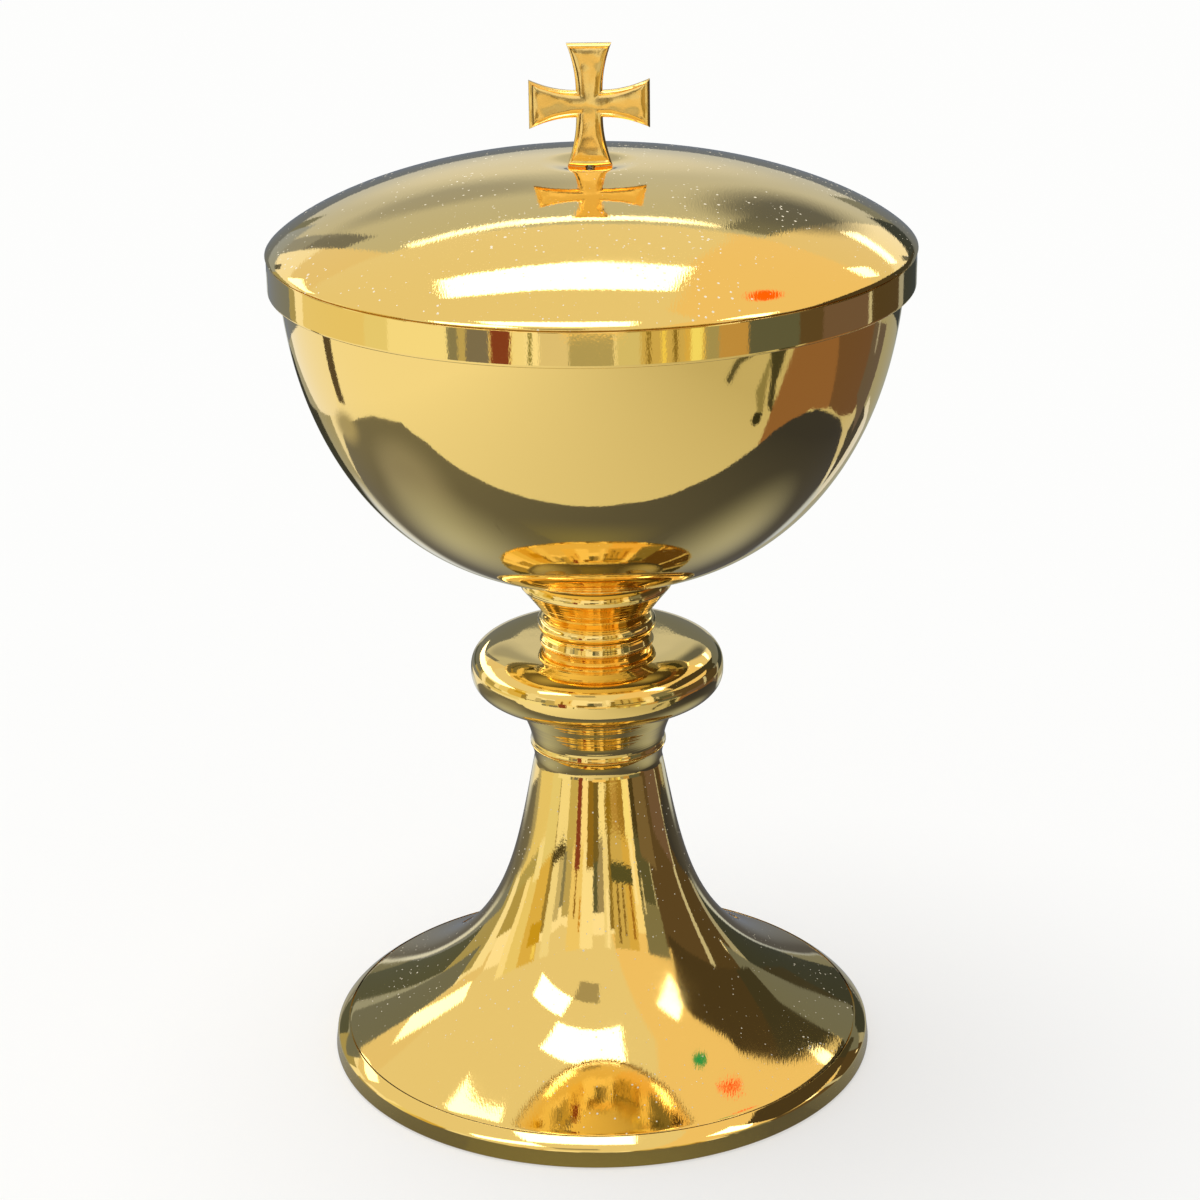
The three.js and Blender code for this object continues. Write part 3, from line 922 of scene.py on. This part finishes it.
def worn_metal(name, colour, stained, roughness, marks):
    """Unpolished metal with turning marks round the axis and cloudy stains."""
    material, tree = new_material(name)
    place = add(tree, "ShaderNodeTexCoord")
    spot = ("Vector", place, "Object")
    cloud = add(tree, "ShaderNodeTexNoise", [spot], Scale=per_metre(CLOUD_MM), Detail=5.0, Roughness=0.6)
    tint = add(tree, "ShaderNodeMix", [(0, cloud, "Fac")], data_type="RGBA")
    tint.inputs["A"].default_value = linear(stained)
    tint.inputs["B"].default_value = linear(colour)
    haze = add(tree, "ShaderNodeMapRange", [("Value", cloud, "Fac")])
    haze.inputs["To Min"].default_value = roughness * 1.3
    haze.inputs["To Max"].default_value = roughness * 0.8
    rings = add(
        tree,
        "ShaderNodeTexWave",
        [spot],
        wave_type="RINGS",
        rings_direction="SPHERICAL",
        Scale=per_metre(TOOL_MARK_MM) * WAVE_LENGTH,
        Distortion=0.6,
    )
    bump = add(tree, "ShaderNodeBump", [("Height", rings, "Fac")], Strength=marks, Distance=0.0001)
    metal = add(
        tree,
        "ShaderNodeBsdfPrincipled",
        [("Base Color", tint, "Result"), ("Roughness", haze, "Result"), ("Normal", bump, "Normal")],
        Metallic=1.0,
    )
    add(tree, "ShaderNodeOutputMaterial", [("Surface", metal, "BSDF")])
    return material


gold_satin = worn_metal("gold_plate_satin", GOLD, SATIN, 0.2, 0.15)
brass_turned = worn_metal("brass_turned", BRASS, "#B88F45", 0.32, 0.4)
steel_zinc = worn_metal("steel_zinc_plated", ZINC, "#8E9298", 0.38, 0.1)
print(len(bpy.data.materials), "materials")

# %% [markdown]
# ## Putting it together
# Every fine piece rides on the body that its CAD node belongs to and stands in for that node. The cover's
# pieces lift and turn with the cover. The seat ring rides on the small body between cup and cover.

# %% Ride, replace and finish every piece
FITTED = {
    "vessel": {
        "base_ring_fine": ("base_ring", "satin_gold", gold_mirror),
        "foot_shell_fine": ("foot_shell", "polished_gold", gold_foot),
        "foot_plate_fine": ("foot_plate", "plain_brass", brass_turned),
        "foot_washer_fine": ("foot_washer", "plain_brass", brass_turned),
        "lock_washer_fine": ("lock_washer", "steel", steel_zinc),
        "foot_nut_fine": ("foot_nut", "steel", steel_zinc),
        "tie_rod_fine": ("tie_rod", "steel", steel_zinc),
        "lower_collar_fine": ("lower_collar", "polished_gold", gold_turned),
        "knop_lower_fine": ("knop_lower_shell", "polished_gold", gold_mirror),
        "knop_upper_fine": ("knop_upper_shell", "polished_gold", gold_mirror),
        "upper_neck_fine": ("upper_neck", "polished_gold", gold_turned),
        "bead_ring_fine": ("bead_ring", "polished_gold", gold_turned),
        "calyx_collar_fine": ("calyx_collar", "polished_gold", gold_turned),
        "cup_fine": ("cup", "polished_gold", gold_mirror),
    },
    "lid_seat": {"lid_seat_fine": ("lid_seat_ring", "plain_brass", brass_turned)},
    "lid_cover": {
        "lid_band_fine": ("lid_band", "polished_gold", gold_mirror),
        "lid_dome_fine": ("lid_dome", "polished_gold", gold_cover),
        "cross_fine": ("cross_finial", "polished_gold", gold_cross),
        "finial_washer_fine": ("finial_washer", "plain_brass", brass_turned),
        "finial_nut_fine": ("finial_nut", "steel", steel_zinc),
        "finial_stud_fine": ("finial_stud", "steel", steel_zinc),
    },
}
for body, fitted in FITTED.items():
    for name, (node, slot, material) in fitted.items():
        piece = pieces[name]
        piece.data.materials.append(material)
        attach(piece, body)
        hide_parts(node)
for node in ("knop_spacer", "cup_boss"):
    frame["nodes"][node].material_slots[0].material = brass_turned

base_ring.data.materials.append(gold_satin)
skirt_faces = 0
for face in base_ring.data.polygons:
    if face.center.z < SKIRT_TOP * MM:
        face.material_index = 1
        skirt_faces += 1
print(sum(len(fitted) for fitted in FITTED.values()), "pieces,", skirt_faces, "satin faces")

# %% [markdown]
# ## Floor, lamp and background
# The floor is a pale disc. For the camera it is mixed with plain white light, so it looks white and still
# keeps the soft shadow round the foot. Seen from below it is clear, so that the foot can be looked into.
# The world is white where the camera, a reflection or glass looks at it, and a plain grey level of light
# elsewhere. One very wide lamp far above makes the shadow; a colour under both renders about as it is
# written. Mirrors look past the floor, to the cards that the next cells lay out.

# %% Lay the floor and hang the lamp
FLOOR_RADIUS = 4000
FLOOR_WHITE = "#F7F7F5"
FLOOR_SHADOW = 0.5
WORLD_LEVEL = 0.5
LAMP_LEVEL = 1.75
LAMP_SPREAD = math.radians(50)


def flat_mesh(name, corners):
    """A one-sided flat sheet from its corners in millimetres."""
    mesh = bpy.data.meshes.new(name)
    mesh.from_pydata([Vector(c) * MM for c in corners], [], [list(range(len(corners)))])
    sheet = bpy.data.objects.new(name, mesh)
    bpy.context.scene.collection.objects.link(sheet)
    return sheet


def circle(radius, z, steps=96):
    return [
        (radius * math.cos(2 * math.pi * k / steps), radius * math.sin(2 * math.pi * k / steps), z)
        for k in range(steps)
    ]


def looked_at(tree):
    """A node that gives 1 where the camera, a reflection or glass looks, and 0 for other light."""
    path = add(tree, "ShaderNodeLightPath")
    pair = [(0, path, "Is Camera Ray"), (1, path, "Is Glossy Ray")]
    seen = add(tree, "ShaderNodeMath", pair, operation="MAXIMUM")
    pair = [(0, seen, "Value"), (1, path, "Is Transmission Ray")]
    return add(tree, "ShaderNodeMath", pair, operation="MAXIMUM")


floor_material, tree = new_material("floor_paper")
paper = add(tree, "ShaderNodeBsdfDiffuse", Color=linear(FLOOR_WHITE))
white = add(tree, "ShaderNodeEmission", Color=linear("#FFFFFF"), Strength=1.0)
seen = looked_at(tree)
share = add(tree, "ShaderNodeMath", [(0, seen, "Value")], operation="MULTIPLY")
share.inputs[1].default_value = 1 - FLOOR_SHADOW
lit = add(tree, "ShaderNodeMixShader", [(0, share, "Value"), (1, paper, "BSDF"), (2, white, "Emission")])
clear = add(tree, "ShaderNodeBsdfTransparent")
side = add(tree, "ShaderNodeNewGeometry")
both = add(tree, "ShaderNodeMixShader", [(0, side, "Backfacing"), (1, lit, "Shader"), (2, clear, "BSDF")])
add(tree, "ShaderNodeOutputMaterial", [("Surface", both, "Shader")])
floor = flat_mesh("floor", circle(FLOOR_RADIUS, -0.05))
floor.data.materials.append(floor_material)
floor.visible_glossy = False

lamp_data = bpy.data.lights.new("soft_lamp", "SUN")
lamp_data.angle = LAMP_SPREAD
lamp_data.energy = LAMP_LEVEL
lamp = bpy.data.objects.new("soft_lamp", lamp_data)
lamp.rotation_euler = (math.radians(-8), math.radians(-10), 0)
lamp.visible_glossy = False
bpy.context.scene.collection.objects.link(lamp)

world = bpy.data.worlds.new("studio")
bpy.context.scene.world = world
world.use_nodes = True
tree = world.node_tree
tree.nodes.clear()
seen = looked_at(tree)
level = add(tree, "ShaderNodeMapRange", [("Value", seen, "Value")], To_Min=WORLD_LEVEL, To_Max=1.0)
sky = add(tree, "ShaderNodeBackground", [("Strength", level, "Result")], Color=linear("#FFFFFF"))
add(tree, "ShaderNodeOutputWorld", [("Surface", sky, "Background")])
print("world", WORLD_LEVEL, "and lamp", LAMP_LEVEL)

# %% [markdown]
# ## Cards for the mirror
# A mirror has no look of its own: it shows what stands round it. A product photographer therefore sets
# cards round polished metal, and so does this lesson. The room has a ceiling, a rear wall, a ring of
# upright strips and a floor 70 cm below, on which only the cup's small table stands. Only reflections can
# see the cards, so they light nothing and cast no shadow. Each card is a flat sheet with a plain colour, a
# soft spot is a sheet that fades out towards its edge, and a low card is clear when seen from above.

# %% Helpers for cards
CEILING = 1600
REAR = 1600
ROOM_FLOOR = -700
RING_RADIUS = 1650
LAYER = 5
cards = []


def glow(name, colour, strength, soft=False, below=False):
    """Plain light of one colour, faded towards the edge if soft, clear from behind if below."""
    material, tree = new_material(name)
    surface = add(tree, "ShaderNodeEmission", Color=linear(colour), Strength=strength)
    clear = add(tree, "ShaderNodeBsdfTransparent")
    if soft:
        place = add(tree, "ShaderNodeTexCoord")
        ball = add(tree, "ShaderNodeTexGradient", [("Vector", place, "Object")], gradient_type="SPHERICAL")
        fade = add(tree, "ShaderNodeMapRange", [("Value", ball, "Fac")], interpolation_type="SMOOTHSTEP")
        fade.inputs["From Max"].default_value = soft
        both = [(0, fade, "Result"), (1, clear, "BSDF"), (2, surface, "Emission")]
        surface = add(tree, "ShaderNodeMixShader", both)
    if below:
        side = add(tree, "ShaderNodeNewGeometry")
        both = [(0, side, "Backfacing"), (1, surface, surface.outputs[0].name), (2, clear, "BSDF")]
        surface = add(tree, "ShaderNodeMixShader", both)
    add(tree, "ShaderNodeOutputMaterial", [("Surface", surface, surface.outputs[0].name)])
    material.cycles.emission_sampling = "NONE"
    return material


def only_in_mirrors(sheet):
    sheet.visible_camera = False
    sheet.visible_diffuse = False
    sheet.visible_shadow = False
    sheet.visible_transmission = False
    sheet.visible_volume_scatter = False
    cards.append(sheet.name)


def card(name, colour, corners, strength=1.0, below=False):
    """A flat card from corners in millimetres."""
    sheet = flat_mesh(name, corners)
    sheet.data.materials.append(glow(name, colour, strength, below=below))
    only_in_mirrors(sheet)


def upright(name, colour, start, end, low, high, layer=1, strength=1.0):
    """A strip on the ring between two compass angles, 0 towards the camera and 90 to the right."""
    radius = RING_RADIUS - 15 * layer
    corners = []
    for angle, z in ((start, low), (end, low), (end, high), (start, high)):
        turn = math.radians(angle)
        corners.append((radius * math.sin(turn), -radius * math.cos(turn), z))
    card(name, colour, corners, strength)


def soft_spot(name, colour, centre, across, up, strength=1.0, soft=0.7, below=False):
    """An ellipse that fades out, from its centre and its two half axes."""
    sheet = flat_mesh(name, circle(1000, 0, 48))
    across, up = Vector(across), Vector(up)
    facing = across.cross(up).normalized()
    columns = Matrix((across * MM, up * MM, facing)).transposed().to_4x4()
    sheet.matrix_world = Matrix.Translation(Vector(centre) * MM) @ columns
    sheet.data.materials.append(glow(name, colour, strength, soft, below))
    only_in_mirrors(sheet)


# %% [markdown]
# The ceiling is cream, warmer to the right, with four white light panels. These draw the bright
# rectangles on the cover and on the foot. A small orange colour filter hangs there too. Corners are
# written clockwise as seen from above, so that a low card faces down.

# %% Hang the ceiling
LIGHT = 4.0
FAR = 3400
ceiling_cards = [
    ("ceiling_cream", "#E8E3CF", [(-FAR, -FAR), (-FAR, FAR), (FAR, FAR), (FAR, -FAR)]),
    (
        "ceiling_warm",
        "#F0DCB4",
        [
            (700, -FAR), (600, -300), (340, 100), (340, 900), (480, 1400), (480, FAR),
            (FAR, FAR), (FAR, -FAR),
        ],
    ),
    ("ceiling_shade", "#A8A496", [(-560, -1400), (-60, -1400), (-60, -1000), (-560, -1000)]),
]
light_panels = [
    ("rear_light", [(-595, 480), (-570, 805), (-100, 865), (340, 838), (290, 447), (-100, 480)]),
    ("front_light", [(-628, -560), (-642, -206), (203, -235), (256, -640)]),
    ("left_light", [(-1722, -1020), (-1384, -560), (-620, -645), (-603, -994)]),
    ("right_light", [(1030, -254), (1495, -307), (1849, -759), (969, -652)]),
]
for layer, (name, colour, corners) in enumerate(ceiling_cards):
    card(name, colour, [(x, y, CEILING - LAYER * layer) for x, y in corners])
for name, corners in light_panels:
    card(name, "#FFFFFF", [(x, y, CEILING - 20) for x, y in corners], LIGHT)
soft_spot("ceiling_orange", "#FF6A10", (756, 490, 1570), (0, 150, 0), (130, 0, 0), 1.2, 0.4)

# %% [markdown]
# The foot looks steeply up and sees its own small piece of ceiling, just outside the bowl. Four low cards
# stand in for it at 11 cm: one panel of white, and an orange and a green filter over a warm ground. The
# two axes of a soft spot are kept at right angles, because an object's matrix can't hold a shear.

# %% Hang the low cards
LOW = 112
low_ground = [(60, -45), (57, -12), (62, 12), (96, 22), (104, -4), (92, -38)]
low_white = [(-88, -6), (-93, 22), (-60, 60), (-38, 60), (-50, -6), (-57, -27)]
card("low_ground", "#F0DCB4", [(x, y, LOW) for x, y in low_ground], below=True)
card("low_white", "#FFFFFF", [(x, y, LOW) for x, y in low_white], 3.0, below=True)
soft_spot("low_orange", "#FF5A08", (78.6, -13.3, LOW - 1), (9.8, 8.6, 0), (0.62, -0.7, 0), 1.2, 0.3, True)
soft_spot("low_green", "#2FA87C", (71.7, -28.5, LOW - 1), (6.45, 4.3, 0), (1.23, -1.84, 0), 1.0, 0.3, True)

# %% [markdown]
# The rear is a pale blue-grey screen with darker edges, between white panels and two bright windows, under
# a long panel of light. A low grey shelf card stands closer, where the knop and the foot look back.

# %% Hang the rear wall
rear_cards = [
    ("cream", "#E6DCC2", -FAR, FAR, 1000, 1600, 1.0),
    ("white", "#F8F8F4", -FAR, FAR, 550, 1000, 1.0),
    ("grey", "#8E9498", -FAR, FAR, -330, 550, 1.0),
    ("screen", "#C2C8CC", -800, 620, -330, 1600, 1.0),
    ("left_edge", "#949CAA", -800, -650, 300, 800, 1.0),
    ("left_corner", "#777D8A", -800, -650, 800, 1180, 1.0),
    ("right_edge", "#767C82", 430, 620, 850, 1500, 1.0),
    ("left_foot", "#7A7F78", -620, -470, -330, 460, 1.0),
    ("right_foot", "#7F8480", 400, 540, -330, 460, 1.0),
    ("post_left", "#5A5E60", -1080, -960, 420, 700, 1.0),
    ("post_right", "#6A6E72", 960, 1080, 420, 700, 1.0),
    ("window_low", "#FFFFFF", 690, 1160, 860, 985, 3.0),
    ("window_high", "#FFFFFF", 1210, 1580, 1330, 1590, 3.0),
]
for layer, (name, colour, left, right, low, high, strength) in enumerate(rear_cards):
    y = REAR - LAYER * layer
    corners = [(left, y, low), (right, y, low), (right, y, high), (left, y, high)]
    card(f"rear_{name}", colour, corners, strength)
soft_spot("rear_cloud_left", "#A4AAB2", (-300, 1500, 850), (420, 0, 0), (0, 0, 190))
soft_spot("rear_cloud_right", "#666C78", (470, 1500, 980), (300, 0, 0), (0, 0, 420))
soft_spot("rear_cloud_low", "#DADEDE", (-60, 1500, 520), (420, 0, 0), (0, 0, 260))
rear_shelf = [(-420, 320, 100), (420, 320, 100), (420, 320, 220), (-420, 320, 220)]
card("rear_shelf", "#717A88", rear_shelf)
top_light = [(-640, 1480), (-207, 1372), (240, 1380), (420, 1430), (240, 1452), (-207, 1452), (-640, 1540)]
card("rear_top_light", "#FFFFFF", [(x, 1490, z) for x, z in top_light], 3.0)

# %% [markdown]
# The ring of upright strips gives the band and the foot their fine upright lines: cream, gold and white
# from the left round to the front, then brown and grey at the right, and dark grey at the rear.

# %% Stand the strips round the room
BOTTOM = -330
UP = 1000
strips = [
    ("rear_left_dark", "#565E5E", -161, -142, 330),
    ("left_khaki", "#A8A586", -142, -125, 560),
    ("left_white", "#FAFBF6", -125, -117, 620),
    ("left_olive", "#B2AA7C", -117, -103, 330),
    ("left_pale", "#FBF9EA", -103, -97, UP),
    ("left_cream", "#E9E3BA", -97, -86, UP),
    ("left_gold", "#DCC67C", -86, -70, UP),
    ("left_umber", "#9A8C5A", -70, -65, 600),
    ("left_paper", "#F2F2E8", -65, -56, UP),
    ("front_putty", "#C6C4B6", -56, -50, 500),
    ("front_slate", "#888C8C", -50, -46, 360),
    ("front_khaki", "#BDB798", -46, -38, 480),
    ("front_cream", "#EFE3B8", -38, -23, UP),
    ("front_white", "#FDFDF6", -23, -9, UP),
    ("front_grey", "#A19E98", -9, 4, 480),
    ("front_paper", "#F0EEE0", 4, 11, UP),
    ("front_umber", "#8C7D4A", 11, 15, 700),
    ("front_straw", "#CDBE8A", 15, 31, UP),
    ("front_honey", "#D8C078", 31, 41, UP),
    ("right_cream", "#FAF3DC", 41, 50, 700),
    ("right_moss", "#5C6056", 50, 70, 300),
    ("right_brown", "#5C5044", 70, 108, 800),
    ("right_post", "#C4CAD6", 108, 112, 900),
    ("right_umber", "#52483B", 112, 134, 760),
    ("right_silver", "#A4AAB2", 134, 139, 320),
    ("rear_right_dark", "#3C4347", 139, 161, 520),
]
for name, colour, start, end, high in strips:
    upright(name, colour, start, end, BOTTOM, high, 0)
upright("right_haze", "#80837C", 50, 72, 300, UP, 0)
upright("left_window", "#FFFFFF", -138, -119, 770, UP, 1, 2.5)
upright("right_window", "#FFFFFF", 97, 104, 720, UP, 1, 2.0)

# %% [markdown]
# Smaller things break the strips up: a dark ledge, gold and white lines, a shelf, and below the horizon
# the paler and darker pieces that the cover's band shows side by side.

# %% Stand the small strips
small_strips = [
    ("gold_patch", "#C8AA38", -80, -68, 430, 720),
    ("gold_pale", "#F6EA9A", -74, -71, 480, 940),
    ("rear_left_pale", "#9AA6BA", -161, -142, 330, 520),
    ("rear_left_low", "#7C8698", -161, -130, -330, -60),
    ("low_khaki", "#B2B08A", -117, -93, -150, -50),
    ("band_ivory", "#E6DFB8", -119, -84, -330, -150),
    ("band_line", "#6A6240", -103, -101.6, -330, -150),
    ("band_gold", "#F4E27E", -95, -93, -330, -150),
    ("low_pearl", "#F6F8EC", -93, -84, -330, 10),
    ("low_cream", "#E6E6C8", -84, -66, -330, -50),
    ("low_paper", "#F6F6E6", -64, -48, -150, -30),
    ("low_putty", "#C6BE90", -48, -35, -150, 0),
    ("brown_board", "#84483C", -34.5, -27.5, -330, 105),
    ("low_ivory", "#FCF6E2", -27.5, -18, -150, 20),
    ("low_ochre", "#8F7838", -18, -9, -150, 120),
    ("low_umber", "#756A44", -9, -1.5, -62, 90),
    ("low_snow", "#FBFAEA", -1.5, 8, -62, 12),
    ("low_olive", "#968030", 8, 18, -150, -5),
    ("low_tan", "#B49A62", 18, 28, -150, -12),
    ("low_honey", "#A08646", 28, 38, -150, -18),
    ("low_straw", "#FAFAD6", 38, 47, -150, -20),
    ("low_bark", "#4A4230", 50, 58, -150, -60),
    ("low_taupe", "#766B5E", 58, 86, -150, 0),
    ("sill", "#F4DEAC", -12, 12, -235, -62),
    ("ledge", "#46412F", -67, -49, -46, 6),
    ("gold_line_a", "#8F6E2A", -32.3, -30.6, 105, 520),
    ("gold_line_b", "#C99A3C", -25.6, -24, 300, 700),
    ("stand", "#5E655E", -8.5, -3.5, -30, 470),
    ("white_line_a", "#FFFFFF", 7, 10, 250, 1000),
    ("shelf", "#565A46", 14, 42, 85, 190),
    ("line_a", "#6E5A2C", 20.5, 22.3, 190, 900),
    ("line_b", "#7A6430", 27, 28.6, 190, 760),
    ("line_c", "#9C7430", 36, 38.5, 190, 800),
    ("white_line_b", "#FFFFFF", 43, 46, -60, 340),
    ("line_d", "#D8D6CC", 53, 54.6, 110, 420),
    ("line_e", "#B8BCC0", 68.2, 69.6, -60, 320),
    ("spot", "#FFFFFF", 128.4, 130.2, 250, 360),
    ("band_cream", "#F6F8E8", -77, -50, -330, -150),
    ("band_slate", "#7D7E8C", -43, -35, -330, -150),
    ("band_snow", "#F4F4E6", -27, -22.5, -330, -150),
    ("band_moss", "#84864E", -21.5, -20.4, -330, -150),
    ("band_putty", "#DEDBD0", -18, -8, -330, -150),
    ("band_steel", "#B0AF9A", -8, 7, -330, -150),
    ("band_pale", "#D5D5BB", 8, 16, -330, -150),
    ("band_lines_a", "#8A7A3C", 18, 19.2, -330, -150),
    ("band_lines_b", "#F4E88A", 23, 24.4, -330, -150),
    ("band_lines_c", "#84743A", 27, 28.4, -330, -150),
    ("band_bright", "#F4F6B2", 33, 37, -330, -150),
    ("band_grey", "#A4A490", 38, 43, -330, -150),
    ("band_brown", "#BEA170", 43, 54, -330, -150),
    ("band_shade", "#5E666A", 54, 76, -330, -150),
    ("band_dusk", "#6E5F63", 76, 110, -330, -150),
]
for name, colour, start, end, low, high in small_strips:
    upright(name, colour, start, end, low, high, 2)

# %% [markdown]
# A dark cabinet stands close by at the right, a little higher than the cover. The foot, which lies lower,
# shows it as a large dark shape with a curved edge, and the cover looks over it.

# %% Stand the dark cabinet
CABINET_LOW, CABINET_HIGH = 135, 330
cabinet_line = [(289, -97), (259, -11), (255, 75), (288, 175), (356, 339), (493, 765), (620, 1160)]
for i, ((x0, y0), (x1, y1)) in enumerate(zip(cabinet_line, cabinet_line[1:])):
    corners = [(x0, y0, CABINET_LOW), (x1, y1, CABINET_LOW), (x1, y1, CABINET_HIGH), (x0, y0, CABINET_HIGH)]
    card(f"cabinet_{i}", "#4A4238" if i < 3 else "#40403C", corners)

# %% [markdown]
# The cup stands on a dark blue-grey mat, darker towards the right, with a bowed front edge, and the bowl
# shows that edge as a wide dark U. Paler patches at the left, the right, the front and the rear soften it.
# The two pale spots to either side of the foot are painted light that the polished foot throws onto the
# mat, and the two at the rear are a painted sheen from a light behind. Far below, the floor runs from near
# white at the left to a warm grey at the right, with a brown rug, a chair's foot and a dark skirting line.

# %% Paint a sheet from one colour to another
def graded(name, left, right, start, end):
    """Light that runs from one colour to another along X."""
    material, tree = new_material(name)
    place = add(tree, "ShaderNodeTexCoord")
    apart = add(tree, "ShaderNodeSeparateXYZ", [("Vector", place, "Object")])
    across = add(tree, "ShaderNodeMapRange", [("Value", apart, "X")], From_Min=start * MM, From_Max=end * MM)
    tint = add(tree, "ShaderNodeMix", [(0, across, "Result")], data_type="RGBA")
    tint.inputs["A"].default_value = linear(left)
    tint.inputs["B"].default_value = linear(right)
    light = add(tree, "ShaderNodeEmission", [("Color", tint, "Result")], Strength=1.0)
    add(tree, "ShaderNodeOutputMaterial", [("Surface", light, "Emission")])
    material.cycles.emission_sampling = "NONE"
    return material


def graded_card(name, corners, left, right, start, end):
    sheet = flat_mesh(name, corners)
    sheet.data.materials.append(graded(name, left, right, start, end))
    only_in_mirrors(sheet)


# %% Lay the room's floor
graded_card("floor_front", circle(FAR, ROOM_FLOOR), "#F4F5EE", "#C4C2B0", -1500, 1300)
floor_cards = [
    (
        "floor_rear",
        "#A2A498",
        [
            (-FAR, 1500), (-1150, 1150), (-300, 1000), (300, 1000), (FAR, 1500), (FAR, FAR),
            (-FAR, FAR),
        ],
    ),
    (
        "floor_rear_white",
        "#F2F4F4",
        [
            (-FAR, 1250), (-1250, 850), (-1060, 1500), (-1120, 2200), (-1500, 2900),
            (-FAR, 3100),
        ],
    ),
    (
        "floor_rear_dark",
        "#3C3E38",
        [
            (-420, 1180), (-300, 1300), (-500, 3000), (-640, 3000), (-905, 2434), (-847, 1981),
            (-980, 1640),
        ],
    ),
    ("floor_left_blue", "#B4C4DA", [(-300, 700), (-900, 900), (-420, 1180), (-250, 1100)]),
    (
        "rug",
        "#8E6C55",
        [
            (899, -219), (1211, -326), (1615, -407), (2126, -458), (FAR, -600), (FAR, 500),
            (1310, 480), (1300, 150), (1100, -80),
        ],
    ),
    (
        "rug_far",
        "#6E574C",
        [
            (1310, 440), (FAR, 500), (FAR, 2300), (1894, 1553), (1517, 1230), (1280, 1163),
            (1136, 1009), (1200, 680),
        ],
    ),
    ("rear_right_white", "#DCE0E6", [(480, 1150), (760, 1000), (1060, 1500), (700, 1800)]),
    ("rear_right_dark", "#48484A", [(620, 1120), (980, 1020), (1150, 1250), (900, 1500)]),
    ("rear_right_edge", "#665F62", [(900, 1180), (1260, 1000), (2000, 1480), (1600, 1900)]),
    ("rear_right_line", "#B8BCC8", [(1500, 1420), (1530, 1400), (1900, 1660), (1860, 1700)]),
    (
        "skirting",
        "#57504A",
        [
            (-3000, 1520), (-2219, 1090), (-1320, 765), (-1320, 640), (-2192, 850),
            (-3000, 1100),
        ],
    ),
    (
        "chair_post",
        "#45463C",
        [
            (2400, -640), (1970, -551), (1430, -445), (1209, -328), (1130, -300), (1200, -400),
            (1500, -560), (1734, -700), (2000, -860), (2400, -1000),
        ],
    ),
    (
        "chair_leg",
        "#8C8B72",
        [
            (1040, -400), (1090, -380), (1300, -500), (1734, -700), (1760, -740), (1254, -600),
        ],
    ),
    ("chair_wheel", "#33352C", [(960, -370), (1000, -340), (1090, -380), (1062, -450), (984, -430)]),
    (
        "chair_leg_b",
        "#4E4F42",
        [
            (1152, -907), (1493, -1030), (1846, -950), (1930, -1080), (1500, -1130),
            (1180, -990),
        ],
    ),
]
for layer, (name, colour, corners) in enumerate(floor_cards):
    card(name, colour, [(x, y, ROOM_FLOOR + LAYER * (layer + 1)) for x, y in corners])

# %% Lay the mat
MAT_EDGE = [(-292, 10), (-283, -21), (-266, -64), (-215, -89), (-129, -107), (-43, -117), (30, -118)]
MAT_EDGE += [(100, -110), (172, -95), (232, -74), (262, -51), (283, -17), (292, 17), (284, 60), (266, 110)]
MAT_EDGE += [(240, 138), (180, 154), (60, 168), (-60, 168), (-180, 160), (-240, 148), (-272, 100), (-286, 55)]
graded_card("mat", [(x, y, 0.1) for x, y in MAT_EDGE], "#74777C", "#3A3D4C", -230, 240)
soft_spot("mat_tan", "#A8A89E", (-262, 118, 0.2), (40, -8, 0), (8, 60, 0))
soft_spot("mat_left", "#8E929C", (-180, -5, 0.2), (90, 0, 0), (0, 85, 0))
# Painted light: the polished foot throws light onto the mat in these two pale spots round it.
soft_spot("mat_painted_glow_left", "#AEB8C4", (-98, 22, 0.3), (105, 0, 0), (0, 100, 0), 1.0, 1.0)
soft_spot("mat_painted_glow_right", "#A4AEBC", (88, 22, 0.3), (105, 0, 0), (0, 86, 0), 1.0, 1.0)
soft_spot("mat_front", "#7C7D6A", (-10, -62, 0.3), (75, 0, 0), (0, 36, 0), 1.0, 1.0)
# Painted sheen: a light behind shines on the rear of the mat in these two spots.
soft_spot("mat_painted_sheen_rear_left", "#D7E2F2", (-100, 185, 0.4), (80, 0, 0), (0, 60, 0))
soft_spot("mat_painted_sheen_rear_right", "#C0D0EC", (118, 165, 0.4), (50, 8, 0), (-6, 34, 0))
print(len(cards), "cards")
